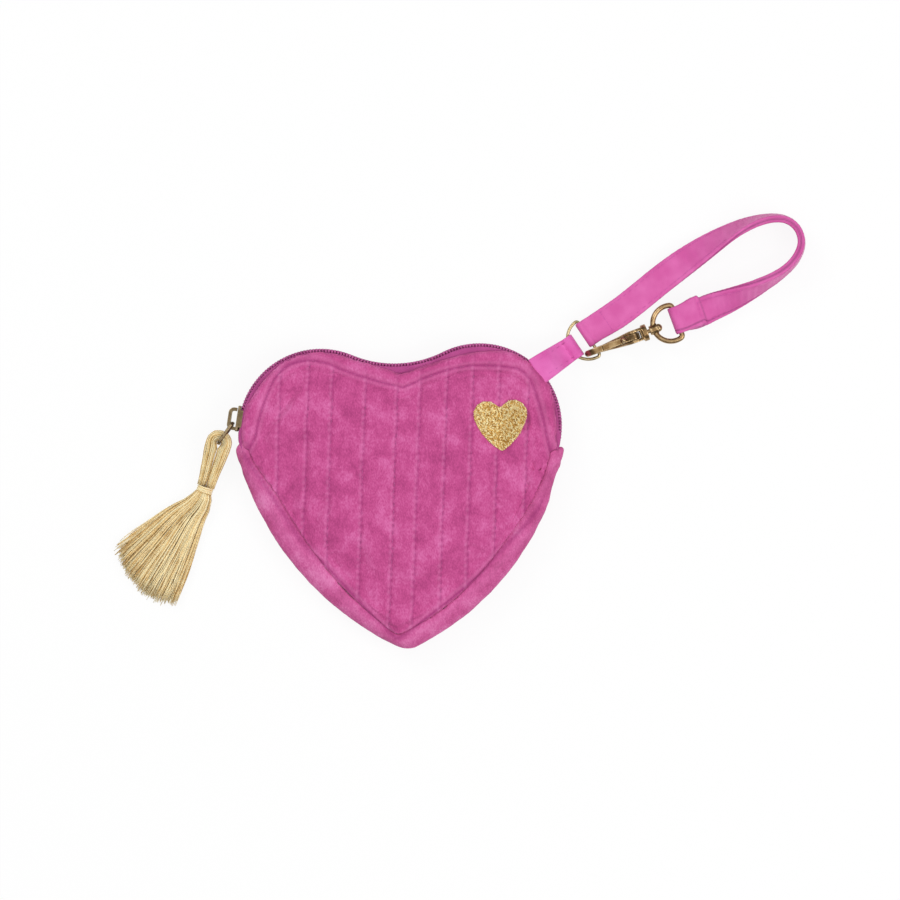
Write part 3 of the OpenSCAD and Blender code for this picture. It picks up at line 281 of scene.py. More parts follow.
def heights_on(surface, points):
    """Height of a surface under each point, in mm, or nothing where there is none"""
    found = np.full(len(points), np.nan)
    for i, (x, y) in enumerate(points):
        place, _ = spot_below(surface, x, y)
        if place is not None:
            found[i] = place.z / MM
    return found


def silhouette(node, centre, turns=np.radians(np.arange(0, 360, 0.5))):
    """The outer edge of a node seen from above, as a point at each turn round a centre, in mm"""
    co = points_of(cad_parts[node])[:, :2] / MM - centre
    ends = np.array([e.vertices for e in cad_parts[node].data.edges])
    a, b = co[ends[:, 0]], co[ends[:, 1]]
    run = []
    for turn in turns:
        u = np.array([math.cos(turn), math.sin(turn)])
        side_a, side_b = a @ [-u[1], u[0]], b @ [-u[1], u[0]]
        cut = (side_a > 0) != (side_b > 0)
        t = side_a[cut] / (side_a[cut] - side_b[cut])
        reach = ((1 - t)[:, None] * a[cut] + t[:, None] * b[cut]) @ u
        run.append(centre + u * reach.max())
    return run


def settle(piece, free, frames, pressure, stretch, cap):
    """Cloth that is longer than its seams: the free points swell and pucker, at most cap mm"""
    before = points_of(piece)
    group = piece.vertex_groups.new(name="sewn")
    for i, value in enumerate(1 - free):
        if value > 0.01:
            group.add([i], float(value), "REPLACE")
    pick(piece)
    cloth = piece.modifiers.new("velvet_cloth", "CLOTH")
    cloth.settings.vertex_group_mass = "sewn"
    cloth.settings.use_pressure = True
    cloth.settings.uniform_pressure_force = pressure
    cloth.settings.shrink_min = -stretch
    cloth.settings.effector_weights.gravity = 0
    cloth.settings.quality = 5
    cloth.settings.bending_stiffness = 0.3
    cloth.point_cache.frame_end = frames
    for f in range(1, frames + 1):
        bpy.context.scene.frame_set(f)
    bpy.ops.object.modifier_apply(modifier=cloth.name)
    bpy.context.scene.frame_set(1)
    piece.vertex_groups.clear()
    move = (points_of(piece) - before) / MM
    size = np.linalg.norm(move, axis=1, keepdims=True)
    move *= np.minimum(1, cap / np.maximum(size, 1e-6))
    move_points(piece, before + move * MM)


def face_attribute(piece, name, values):
    layer = piece.data.attributes.new(name, "FLOAT", "POINT")
    layer.data.foreach_set("value", np.asarray(values, np.float32))


def line_bend(points):
    """Hand-guided quilting lines wander by up to 0.28 mm"""
    return 0.28 * grain(points * [0.3, 1.0], 6.5, 12.4)


def quilt_place(points):
    """Distance to the nearest quilting line, place between the two lines, and the row's number"""
    across = points[:, 0] - quilt_slope * (points[:, 1] - line_level) + line_bend(points)
    k = np.clip(np.searchsorted(quilt_lines, across) - 1, 0, len(quilt_lines) - 2)
    lines = np.array(quilt_lines)
    left, right = lines[k], lines[k + 1]
    t = np.clip((across - left) / (right - left), 0, 1)
    near = np.minimum(np.abs(across - left), np.abs(across - right))
    return near, t, k


front = worked_copy("front_panel", "velvet_front", 0.9)
cad_front = surface_of(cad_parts["front_panel"])
edge_run = silhouette("front_panel", middle)
co = points_of(front) / MM
inside = inside_of(panel_run, co[:, :2])
groove_gap = distance_to(panel_run, co[:, :2])
free = np.where(inside, step(0.5, 3.0, groove_gap), 0) * (co[:, 2] > heights_on(cad_front, co[:, :2]) - 0.6)
settle(front, np.nan_to_num(free), 16, 3.0, 0.03, 0.7)
modified(front, "SUBSURF", levels=1, render_levels=1)

# The velvet's edge is drawn to where the photograph shows it, and its lip laps on to the band's seam


def round_middle(co):
    """The turn of each point round the middle of the heart, and its way outwards"""
    out = co[:, :2] - middle
    return np.arctan2(out[:, 1], out[:, 0]), out / np.linalg.norm(out, axis=1, keepdims=True)


def reach_of(run, turns):
    run = np.array(run) - middle
    run_turns = np.arctan2(run[:, 1], run[:, 0])
    order = np.argsort(run_turns)
    return np.interp(turns, run_turns[order], np.hypot(run[:, 0], run[:, 1])[order])


def draw_edge(co, amount):
    """Moves points outwards by a share of the way from the CAD edge to the velvet's own edge"""
    turns, ray = round_middle(co)
    wish = reach_of(smooth_run(velvet_edge), turns) - reach_of(edge_run, turns)
    upper = step(-0.02, 0.08, np.where(np.abs(turns) > 2.5, np.pi - np.abs(turns), turns))
    out = np.clip(np.where(co[:, 1] > 11, wish * upper, 0), -1.6, 2.6) + 0.35 * (1 - upper)
    out += 0.3 * upper * grain(np.column_stack([turns * 55, turns]), 2.6, 8.8)
    return ray * (out * amount)[:, None]


co = points_of(front) / MM
flat = co[:, :2].copy()
inside = inside_of(panel_run, flat)
groove_gap, edge_gap, zip_gap = [distance_to(run, flat) for run in (panel_run, edge_run, groove_run)]
border_w = groove_gap + edge_gap
border_t = groove_gap / np.maximum(border_w, 0.01)
drawn = draw_edge(co, np.where(inside, 0, border_t ** 1.3))
top = heights_on(cad_front, flat)
top = np.where(np.isnan(top), co[:, 2], top)
line_gap, row_t, row_k = quilt_place(flat)
# Rows: each swells between its two lines; the pile is drawn in and puckers beside every line
row_size = np.array([0.85, 1.05, 0.9, 1.1, 1.0, 0.85, 1.0, 0.95, 1.1, 1.0, 0.9])[row_k]
swell = 1 - np.exp(-np.maximum(groove_gap, 0) / 8.0)
puff = (4 * row_t * (1 - row_t)) ** 0.5
beat = np.sin(flat[:, 1] * 2 * np.pi / 2.6 + 4 * grain(flat * [0.2, 1.0], 9, 2.9))
pucker = (0.7 * grain(flat * [0.55, 1.0], 1.5, 3.1) + 0.6 * beat) * np.exp(-line_gap / 1.3)
patches = grain(flat, 13, 1.7)
creases = grain(flat @ np.array([[0.94, -0.34], [0.34 * 0.45, 0.94 * 0.45]]).T, 2.4, 9.2)
wanted = front_z + seam_rise - 0.35 + dome_rise * swell
wanted += 0.62 * row_size * np.minimum(1, swell * 1.5) * (puff - 1) - 0.14 * np.exp(-(line_gap / 0.4) ** 2)
wanted += (0.26 * pucker + 0.28 * patches + 0.10 * creases) * np.minimum(1, groove_gap / 4)
wanted += 0.22 * grain(flat, 2.0, 5.5) * np.exp(-groove_gap / 2.2) * step(0.1, 1.0, groove_gap)
# Border: a soft roll between the groove and the velvet's edge, plain and without rows
arch = np.sin(np.pi * np.clip(border_t, 0, 1))
roll = front_z + seam_rise - 0.45 + 0.95 * arch ** 0.7 + 0.16 * grain(flat, 2.6, 7.7) * arch
roll -= 0.22 * np.exp(-(groove_gap / 0.4) ** 2) + 0.16 * np.exp(-(line_gap / 0.5) ** 2) * (edge_gap > 0.8)
hold = (1 - step(0.62, 0.92, border_t)) * step(1.4, 3.0, border_w)
shift = np.where(inside, wanted - top, (roll - top) * hold)
near_seam = (~inside) & (zip_gap > groove_gap + 0.3)
shift = np.where(near_seam, np.minimum(0, shift) * 0.3, shift)
badge_gap = np.linalg.norm(flat - [37.3, 26.0], axis=1)
shift -= 0.35 * (1 - step(7.5, 12.5, badge_gap)) * inside
underside = co[:, 2] < top - 0.7
shift = np.where(underside, np.minimum(shift, 0) * 0.6, shift)
co[:, 2] += shift
co[:, :2] += drawn
move_points(front, co * MM)
modified(front, "SMOOTH", factor=0.4, iterations=1)
bpy.ops.object.shade_smooth()
# Painted light on the front: painted shade along each quilting line and in the border's groove, and a painted
# highlight on the lit side beside each line and beside the groove
scallop = np.clip(0.5 + 0.45 * beat + 0.5 * grain(flat * [0.01, 1.0], 1.3, 4.4), 0, 1)
line_painted_shade = np.exp(-(line_gap / 0.42) ** 2) * (1 - 0.7 * scallop) * np.where(inside, 1, 0.45)
groove_painted_shade = 1.1 * np.exp(-(groove_gap / 0.42) ** 2)
face_attribute(front, "stitched", np.maximum(line_painted_shade, groove_painted_shade))
beside = np.where(row_t > 0.5, np.exp(-((line_gap - 0.75) / 0.5) ** 2), 0) * (0.2 + 0.8 * scallop)
groove_painted_highlight = 0.6 * np.exp(-((groove_gap - 1.0) / 0.6) ** 2)
face_attribute(front, "painted_highlight_mark", beside * np.where(inside, 1, 0.5) + groove_painted_highlight)


def velvet(name, shadow, body, crest):
    """Cotton velvet with a short pile: patches 5 to 15 mm across where the pile leans another way"""
    material, tree, place = new_material(name)
    leaning = add(tree, "Mapping", {"Vector": place, "Rotation": (0, 0, math.radians(35)),
                                              "Scale": (1, 0.55, 1)})
    # Pile patches of 9 mm, brush strokes of 1.3 mm that lie aslant, and tufts of 0.45 mm
    patch = add(tree, "TexNoise", {"Vector": place, "Scale": 110, "Detail": 3, "Roughness": 0.5})
    stroke = add(tree, "TexNoise", {"Vector": leaning, "Scale": 760, "Detail": 3, "Roughness": 0.6})
    tuft = add(tree, "TexNoise", {"Vector": leaning, "Scale": 2200, "Detail": 2})
    pile = add(tree, "Math", {0: patch, 1: 0.5}, operation="MULTIPLY")
    pile = add(tree, "Math", {0: stroke, 1: 0.2, 2: pile}, operation="MULTIPLY_ADD")
    pile = add(tree, "Math", {0: tuft, 1: 0.34, 2: pile}, operation="MULTIPLY_ADD")
    shade = add(tree, "ValToRGB", {0: pile},
                stops=[(0.38, linear(shadow)), (0.66, linear(crest)), (0.52, linear(body))]).outputs[0]
    # Painted shade where the pile is sewn down, in grooves and creases, and a painted highlight where it
    # rises on the lit side
    for mark, code, weight in (("stitched", "#963170", 0.62), ("painted_highlight_mark", "#E48CC0", 0.34)):
        marked = add(tree, "Attribute", attribute_name=mark).outputs["Fac"]
        share = add(tree, "Math", {0: marked, 1: weight}, operation="MULTIPLY")
        shade = add(tree, "Mix", {0: share, 6: shade, 7: linear(code)}, data_type="RGBA").outputs[2]
    bump = add(tree, "Bump", {"Height": pile, "Strength": 0.6, "Distance": 0.0006})
    shader = add(tree, "BsdfPrincipled", {
        "Base Color": shade, "Roughness": 0.92, "Normal": bump, "Specular IOR Level": 0.15,
        "Sheen Weight": 0.35, "Sheen Roughness": 0.4, "Sheen Tint": linear("#F7B4DC")})
    add(tree, "OutputMaterial", {"Surface": shader})
    return material


velvet_pile = velvet("quilted_cotton_velvet", "#AE427C", "#C85290", "#DD72AE")
front.data.materials.append(velvet_pile)
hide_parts("front_panel")
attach(front, "purse")

# Stitches. A matching cotton thread, 0.3 mm thick, in running stitches of about 2 mm that sink into the
# pile along every quilting line, along the border and beside the seam.


def one_stitch(length, radius):
    """Points and faces of one stitch: a short rounded rod along X"""
    bpy.ops.object.select_all(action="DESELECT")
    bpy.ops.mesh.primitive_uv_sphere_add(segments=6, ring_count=5, radius=1)
    rod = bpy.context.object
    bpy.ops.transform.resize(value=(radius, radius, length / 2))
    bpy.ops.transform.rotate(value=math.pi / 2, orient_axis="Y", center_override=(0, 0, 0))
    bpy.ops.object.transform_apply(location=True, rotation=True, scale=True)
    points = points_of(rod).copy()
    faces = [list(p.vertices) for p in rod.data.polygons]
    bpy.data.objects.remove(rod)
    return points, faces


def sew(name, spots, template, tones=None):
    """One mesh of copied stitches; a spot is its middle, its direction and its normal, in metres"""
    points, faces = template
    all_points, all_faces = [], []
    for middle_point, along, normal in spots:
        x = Vector(along).normalized()
        z = (Vector(normal) - Vector(normal).dot(x) * x).normalized()
        y = z.cross(x)
        turn = np.array([x, y, z]).T
        start = len(all_points) * len(points)
        all_faces += [[v + start for v in f] for f in faces]
        all_points.append(points @ turn.T + np.array(middle_point))
    piece = mesh_piece(name, np.concatenate(all_points).tolist(), all_faces)
    if tones is not None:
        face_attribute(piece, "tone", np.repeat(tones, len(points)))
    return piece


def running(surface, run, length, gap, sink, wander, seed):
    """Spots of a running stitch along a run of points in mm, laid on a surface from above"""
    dice = random.Random(seed)
    run = np.array(run)
    lengths = lengths_along(run)
    spots = []
    s = gap
    while s + length < lengths[-1]:
        ends = []
        for end in (s, s + length):
            end_spot = point_at(run, lengths, end) + [dice.uniform(-wander, wander) for _ in "XY"]
            ends.append(spot_below(surface, *end_spot))
        (a, normal), (b, _) = ends
        if a is not None and b is not None and (b - a).length < length * 1.8 * MM:
            spots.append(((a + b) / 2 - normal * sink * MM, b - a, normal))
        s += length + gap * dice.uniform(0.8, 1.2)
    return spots


def thread_cloth(name, dark, light, scale=2600.0):
    """Twisted cotton sewing thread: a dull, fine ply"""
    material, tree, place = new_material(name)
    ply = add(tree, "TexNoise", {"Vector": place, "Scale": scale, "Detail": 1})
    ramp = add(tree, "ValToRGB", {0: ply}, stops=[(0.35, linear(dark)), (0.65, linear(light))])
    bump = add(tree, "Bump", {"Height": ply, "Strength": 0.3, "Distance": 0.0001})
    shader = add(tree, "BsdfPrincipled", {"Base Color": ramp, "Roughness": 0.7, "Normal": bump,
                                                    "Sheen Weight": 0.2})
    add(tree, "OutputMaterial", {"Surface": shader})
    return material


pink_thread = thread_cloth("pink_sewing_thread", "#A83E80", "#C65C9C")
front_surface = surface_of(front)
spots = []
y = np.arange(-56, 56, 1.0)
for k, x in enumerate(quilt_lines[1:-1]):
    line = np.column_stack([x + quilt_slope * (y - line_level), y])
    line[:, 0] -= line_bend(line)
    line = line[inside_of(panel_run, line) & (distance_to(panel_run, line) > 0.6)]
    spots += running(front_surface, line, 1.9, 0.7, 0.1, 0.06, k)
spots += running(front_surface, groove_run[3:-3], 2.2, 0.8, 0.1, 0.05, 40)
stitches = sew("quilting_thread", spots, one_stitch(2.1 * MM, 0.15 * MM))
stitches.data.materials.append(pink_thread)
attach(stitches, "purse")

# Back panel, band and inside. The back is quilted like the front; the lower edge is closed by a plain
# velvet band, gathered where the zip ends. Wadding and a cotton lining lie behind and aren't seen.
back = worked_copy("back_panel", "velvet_back", 0.9)
co = points_of(back) / MM
low = co[:, 2] < 3.6
raised = (0.16 * grain(co[:, :2], 4.0, 2.2) + 0.12 * grain(co[:, :2], 11, 8.8)) * low
co[:, 2] += np.where(co[:, 2] > 0.3, raised, np.abs(raised) * 0.4)
back_line_gap, back_row_t, _ = quilt_place(co[:, :2])
co[:, 2] += np.where(low, 0.25 * np.exp(-(back_line_gap / 0.5) ** 2), 0)
co[:, 2] = np.maximum(co[:, 2], 0.02)
move_points(back, co * MM)
# Painted shade along the back's quilting lines, and a painted highlight on one side of each
face_attribute(back, "stitched", np.exp(-(back_line_gap / 0.5) ** 2) * low)
face_attribute(back, "painted_highlight_mark", np.exp(-((back_line_gap - 0.9) / 0.5) ** 2) * low * (back_row_t > 0.5))
back.data.materials.append(velvet_pile)
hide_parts("back_panel")
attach(back, "purse")

band = worked_copy("bottom_gusset", "velvet_band", 0.7)
co = points_of(band) / MM
turns, ray = round_middle(co)
arc = turns * heart_radius
lumps = np.array([noise.noise(Vector((a / 5.5, z / 7.0, 3.3))) for a, z in zip(arc, co[:, 2])])
fine = np.array([noise.noise(Vector((a / 1.8, z / 5.0, 6.1))) for a, z in zip(arc, co[:, 2])])
# Tucks within 12 mm of the zip's ends, where the gathered cloth folds under
end_gap = np.minimum(*[np.linalg.norm(co[:, :2] - end, axis=1) for end in ([-59.0, 17.5], [59.8, 15.8])])
tuck = np.exp(-(end_gap / 6.5) ** 2) * np.sin(co[:, 2] * 1.15 + arc * 0.9)
outer = step(0, 1.2, np.einsum("ij,ij->i", co[:, :2] - middle, ray) - reach_of(panel_run, turns) - 0.6)
co[:, :2] += ray * ((0.22 * lumps + 0.07 * fine + 0.4 * tuck) * outer - 0.75 * (1 - outer))[:, None]
co[:, 2] += (0.18 * lumps + 0.12 * fine + 0.3 * tuck) * (co[:, 2] > 9)
# Both ends of the band are pushed up by the gathers and rounded inwards
co[:, 1] += 1.5 * np.exp(-((co[:, 1] - 18.5) / 3.0) ** 2) * (co[:, 1] > 8)
co[:, :2] -= ray * (1.8 * step(16.5, 20.3, co[:, 1]) ** 1.5 * outer)[:, None]
co[:, 2] = np.maximum(co[:, 2], 0.02)
move_points(band, co * MM)
modified(band, "SMOOTH", factor=0.4, iterations=2)
co = points_of(band) / MM
seam_gap = distance_to(seam_run, co[:, :2])
# Painted shade in the seam's crease, and a painted highlight along the top of the band's roll
face_attribute(band, "stitched", 0.8 * np.exp(-(seam_gap / 0.9) ** 2) * (co[:, 2] > 12))
face_attribute(band, "painted_highlight_mark", 0.35 * np.exp(-((seam_gap - 3.2) / 1.4) ** 2) * (co[:, 2] > 10))
# The band takes a lighter copy of the velvet: painted sheen where the pile is seen on the band's steep side
band.data.materials.append(velvet("velvet_band_painted_sheen", "#B54A81", "#D15E9B", "#E482B8"))
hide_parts("bottom_gusset")
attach(band, "purse")


def woven(name, dark, light, thread, sheen=0.0, rough=0.75, slant=0.0):
    """A weave of crossing threads, thread mm apart; where real threads are finer than the picture can
    show, they are drawn this coarse"""
    material, tree, place = new_material(name)
    turned = add(tree, "Mapping", {"Vector": place, "Rotation": (0, 0, slant)})
    rate = 1 / (thread * MM) / 3.14
    warp, weft = [add(tree, "TexWave", {"Vector": turned, "Scale": rate, "Distortion": 0.6, "Detail": 1},
                      bands_direction=way).outputs["Fac"] for way in "XY"]
    crossed = add(tree, "Math", {0: warp, 1: weft}, operation="MULTIPLY")
    cloud = add(tree, "TexNoise", {"Vector": place, "Scale": 140, "Detail": 3})
    mix = add(tree, "Math", {0: crossed, 1: 0.45, 2: cloud}, operation="MULTIPLY_ADD")
    ramp = add(tree, "ValToRGB", {0: mix}, stops=[(0.40, linear(dark)), (0.90, linear(light))])
    # Painted shade in creases, at folds and on lower layers, darkening the weave
    crease_painted_shade = add(tree, "Attribute", attribute_name="stitched").outputs["Fac"]
    shade = add(tree, "Mix", {0: crease_painted_shade, 6: ramp, 7: linear("#8A2F6C")}, data_type="RGBA")
    bump = add(tree, "Bump", {"Height": crossed, "Strength": 0.35, "Distance": thread * 0.0004})
    shader = add(tree, "BsdfPrincipled", {"Base Color": shade.outputs[2], "Roughness": rough,
                                                    "Normal": bump, "Sheen Weight": sheen})
    add(tree, "OutputMaterial", {"Surface": shader})
    return material


lining_cotton = woven("plain_cotton_lining", "#C99AB6", "#E3BDD2", 0.5)
wadding_felt = woven("polyester_wadding", "#DDD8D2", "#F4F1EC", 1.2, rough=0.95)
for node_name, cloth in (("front_lining", lining_cotton), ("back_lining", lining_cotton),
                         ("gusset_lining", lining_cotton), ("front_wadding", wadding_felt),
                         ("back_wadding", wadding_felt)):
    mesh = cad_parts[node_name].data
    mesh.materials.clear()
    mesh.materials.append(cloth)

# Zip. Two woven tapes in a darker magenta, each with a row of moulded teeth along its edge; the teeth
# of the two rows lock between each other. Two small brass stops end the chain.
zip_height = 8.5
tape_weave = woven("woven_zip_tape", "#A83A80", "#C65398", 0.45, slant=0.6)


def drawn_under(co):
    """Lays a tape 0.6 mm outwards, to the teeth's feet, and draws both its ends out by 3.2 mm, to
    where the velvet band covers them"""
    turns, ray = round_middle(co)
    moved = co.copy()
    moved[:, :2] += 0.6 * ray
    for back in ((turns - turns.min()) * heart_radius, (turns.max() - turns) * heart_radius):
        way = (co[back < 1].mean(0) - co[(back > 5) & (back < 6)].mean(0))[:2]
        way /= np.linalg.norm(way)
        moved[:, :2] += way * (3.2 * np.clip(1 - back / 12, 0, 1))[:, None]
        moved[:, :2] += ray * (1.1 * step(0.5, 3.5, back) * (1 - step(5.5, 8, back)))[:, None]
    return moved


for node_name, side in (("zip_tape_front", 1), ("zip_tape_back", -1)):
    tape = worked_copy(node_name, "woven_" + node_name[4:], 0.27)
    co = points_of(tape) / MM
    co[:, 2] += 0.06 * grain(co[:, :2], 2.2, 4.0 + side)
    co = drawn_under(co)
    move_points(tape, co * MM)
    modified(tape, "SMOOTH", factor=0.5, iterations=2)
    tape.data.materials.append(tape_weave)
    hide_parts(node_name)
    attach(tape, "purse")

nylon, tree, place = new_material("moulded_nylon_teeth")
dust = add(tree, "TexNoise", {"Vector": place, "Scale": 700, "Detail": 2})
ramp = add(tree, "ValToRGB", {0: dust}, stops=[(0.3, linear("#A03A7C")), (0.7, linear("#D064A8"))])
shader = add(tree, "BsdfPrincipled", {"Base Color": ramp, "Roughness": 0.42, "IOR": 1.53})
add(tree, "OutputMaterial", {"Surface": shader})


def rounded_block(size, bevel):
    """Points and faces of a block with rounded edges, size in mm along X, Y and Z"""
    bpy.ops.object.select_all(action="DESELECT")
    bpy.ops.mesh.primitive_cube_add(size=1)
    block = bpy.context.object
    bpy.ops.transform.resize(value=[s * MM for s in size])
    bpy.ops.object.transform_apply(location=True, rotation=True, scale=True)
    bpy.ops.object.mode_set(mode="EDIT")
    bpy.ops.mesh.select_all(action="SELECT")
    bpy.ops.mesh.bevel(offset=bevel * MM, segments=1, affect="EDGES")
    bpy.ops.object.mode_set(mode="OBJECT")
    made = points_of(block).copy(), [list(p.vertices) for p in block.data.polygons]
    bpy.data.objects.remove(block)
    return made


tooth_pitch, tooth_inset, tooth_rise = 1.15, 0.45, 1.12
tooth = rounded_block((0.84, 1.7, 1.9), 0.24)
chain_turns, _ = round_middle(points_of(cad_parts["zip_teeth_front"]) / MM)
chain_run = silhouette("zip_teeth_front", middle,
                       np.arange(chain_turns.min() + 0.004, chain_turns.max() - 0.004, 0.008))
# At the right end the teeth go on for 1.6 mm, into the gathered velvet
last_way = (chain_run[0] - chain_run[5]) / np.linalg.norm(chain_run[0] - chain_run[5])
chain_run = np.array([chain_run[0] + 1.6 * last_way] + chain_run)
chain_lengths = lengths_along(chain_run)
for node_name, side in (("zip_teeth_front", 1), ("zip_teeth_back", -1)):
    spots = []
    for s in np.arange(0.8 + (0 if side > 0 else tooth_pitch / 2), chain_lengths[-1] - 0.6, tooth_pitch):
        p, q = point_at(chain_run, chain_lengths, s), point_at(chain_run, chain_lengths, s + 0.5)
        u = (q - p) / np.linalg.norm(q - p)
        x, y = p + np.array([-u[1], u[0]]) * tooth_inset
        spots.append(((x * MM, y * MM, (zip_height + side * tooth_rise) * MM), (*u, 0), (0, 0, 1)))
    row = sew("moulded_teeth_" + node_name[10:], spots, tooth)
    row.data.materials.append(nylon)
    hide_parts(node_name)
    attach(row, "purse")

# Brass fittings. Slider, crown, puller link, D-ring, swivel eye, snap hook, gate and pins are cast or
# bent brass with an antique finish: a dark brown patina that is rubbed bright on edges and rims.


def antique_brass(name, dark="#3A2A1A", mid="#8B6D49", bright="#E4C89A", rough=0.27):
    material, tree, place = new_material(name)
    stain = add(tree, "TexNoise", {"Vector": place, "Scale": 420, "Detail": 4, "Roughness": 0.6})
    pits = add(tree, "TexNoise", {"Vector": place, "Scale": 2600, "Detail": 2})
    shape = add(tree, "NewGeometry").outputs["Pointiness"]
    edge = add(tree, "MapRange", {0: shape, 1: 0.44, 2: 0.58, 3: 0.0, 4: 1.0})
    soft = add(tree, "Math", {0: stain, 1: 0.5}, operation="MULTIPLY")
    wear = add(tree, "Math", {0: edge, 1: 0.8, 2: soft}, operation="MULTIPLY_ADD")
    ramp = add(tree, "ValToRGB", {0: wear},
               stops=[(0.22, linear(dark)), (0.95, linear(bright)), (0.58, linear(mid))])
    gloss = add(tree, "MapRange", {0: stain, 1: 0.3, 2: 0.7, 3: rough - 0.08, 4: rough + 0.14})
    bump = add(tree, "Bump", {"Height": pits, "Strength": 0.12, "Distance": 0.0001})
    shader = add(tree, "BsdfPrincipled", {"Base Color": ramp, "Metallic": 1.0, "Roughness": gloss,
                                                    "Normal": bump})
    add(tree, "OutputMaterial", {"Surface": shader})
    return material


# The hook lies at 20.2 degrees to X
along_hook = np.array([math.cos(math.radians(20.2)), math.sin(math.radians(20.2))])
across_hook = np.array([-along_hook[1], along_hook[0]])
brass = antique_brass("antique_brass_casting")
brass_zip = antique_brass("antique_brass_zip_slider", dark="#332A1F", mid="#6F5F47", bright="#B9A582")
brass_wire = antique_brass("antique_brass_wire", dark="#4E402A", mid="#98845E", bright="#E2D0A8", rough=0.26)
for node_name, body, voxel, finish in (
        ("zip_slider", "slider", 0.15, brass_zip), ("slider_crown", "slider", 0.12, brass_zip),
        ("zip_puller", "puller", 0.12, brass_zip), ("tab_d_ring", "d_ring", 0.16, brass_wire),
        ("swivel_eye", "eye", 0.17, brass), ("swivel_stud", "hook", 0.12, brass),
        ("hook_body", "hook", 0.15, brass), ("hook_gate", "gate", 0.14, brass),
        ("gate_pin", "hook", 0.08, brass), ("gate_spring", "hook", 0.12, brass_zip),
        ("zip_top_stop", "purse", 0.12, brass), ("zip_bottom_stop", "purse", 0.12, brass)):
    fitting = worked_copy(node_name, "brass_" + node_name, voxel)
    if node_name == "gate_spring":
        # The leaf fills the channel of the hook from cheek to cheek
        co = points_of(fitting) / MM
        off = (co[:, :2] - co[:, :2].mean(0)) @ across_hook
        co[:, :2] += np.outer(0.5 * off, across_hook)
        move_points(fitting, co * MM)
    modified(fitting, "SMOOTH", factor=0.5, iterations=7 if node_name in ("hook_body", "hook_gate") else 3)
    bpy.ops.object.shade_smooth()
    fitting.data.materials.append(finish)
    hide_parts(node_name)
    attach(fitting, body)

# Tab and wrist strap. Smooth 11 mm polyester tape in bright pink, folded round the D-ring and the
# swivel's eye, with a line of stitching 1.5 mm from each edge and one across each fold.
strap_weave = woven("pink_polyester_tape", "#D34E9F", "#E66FB8", 0.4, sheen=0.15, rough=0.62, slant=0.6)
tab_weave = woven("pink_polyester_tab", "#DB54AA", "#EC76C3", 0.4, sheen=0.15, rough=0.62, slant=0.6)
strap_thread = thread_cloth("strap_sewing_thread", "#C04496", "#D862B2")


def forward(run, distance):
    """The first point of a run, and each next one distance mm further along"""
    run = np.array(run, float)
    lengths = lengths_along(run)
    return [point_at(run, lengths, s) for s in np.arange(0, lengths[-1], distance)]


# The tab and the strap's first stretch lie at 34 degrees to X, from the D-ring's bar
along_tab = np.array([math.cos(math.radians(34)), math.sin(math.radians(34))])
across_tab = np.array([-along_tab[1], along_tab[0]])
bar_spot = np.array([69.5, 59.35])
tab = worked_copy("ring_tab", "folded_tape_tab", 0.35)
co = points_of(tab) / MM
root_at = (co[:, :2] - bar_spot) @ along_tab
co[:, :2] -= np.outer(1.3 * (1 - step(-22.5, -18, root_at)), along_tab)
co[:, 2] += 0.07 * grain(co[:, :2], 3.0, 6.6)
move_points(tab, co * MM)
modified(tab, "SMOOTH", factor=0.5, iterations=2)
tab.data.materials.append(tab_weave)
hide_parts("ring_tab")
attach(tab, "purse")

strap_height = 5.6
strap_first = bar_spot + 0.9 * across_tab
strap_last = np.array([102.6805, 65.2083])
route = [strap_first + 3 * along_tab, (83, 69.2), (98.5, 81.6), (111.8, 91.2), (124, 98.8), (134, 102.5),
         (142, 102.9), (147.2, 99.6), (149, 93.8), (146.6, 87.6), (141, 82.2), (132, 77), (122.3, 72.6),
         (115.4, 69.9), (110.5, 67.7), strap_last + 3.1 * along_hook]
roll = [0, 0, 8, 34, 62, 78, 82, 82, 82, 82, 80, 66, 40, 20, 6, 0]
centre_line = smooth_run([(p[0], p[1], r) for p, r in zip(route, roll)], 10)
strap = worked_copy("wrist_strap", "pink_wrist_strap", 0.4)
co = points_of(strap) / MM
stations = np.array(forward(centre_line, 1.0))
ways = np.gradient(stations[:, :2], axis=0)
ways /= np.linalg.norm(ways, axis=1, keepdims=True)
nearest = np.empty(len(co), int)
for start in range(0, len(co), 4000):
    part = co[start:start + 4000, None, :2] - stations[None, :, :2]
    nearest[start:start + 4000] = (part ** 2).sum(2).argmin(1)
rolls, way = np.radians(stations[nearest, 2]), ways[nearest]
inward = np.column_stack([way[:, 1], -way[:, 0]])
from_middle = co - np.column_stack([stations[nearest, :2], np.full(len(co), strap_height)])
out_x = (from_middle[:, :2] * inward).sum(1)
across_at = out_x * np.cos(rolls) + from_middle[:, 2] * np.sin(rolls)
above_at = -out_x * np.sin(rolls) + from_middle[:, 2] * np.cos(rolls)
# The tape is folded double: its long edges show two layers with a crease between them
on_edge = step(4.9, 5.3, np.abs(across_at)) * np.exp(-(above_at / 0.28) ** 2)
push = -0.32 * on_edge * np.sign(across_at)
across_way = np.column_stack([inward * np.cos(rolls)[:, None], np.sin(rolls)])
normal_way = np.column_stack([-inward * np.sin(rolls)[:, None], np.cos(rolls)])
co += across_way * push[:, None]
# Round the far bend the two layers stand a little apart; on the way back the lower one shows as a
# narrow strip along the outer edge
co += normal_way * (0.5 * above_at * step(118, 134, from_middle[:, 0] + stations[nearest, 0]))[:, None]
far_station = stations[:, 0].argmax()
second_layer = np.exp(-((across_at + 4.05) / 0.3) ** 2) * (above_at > 0)
second_layer *= step(far_station, far_station + 14, nearest)
co -= normal_way * (0.4 * second_layer)[:, None]
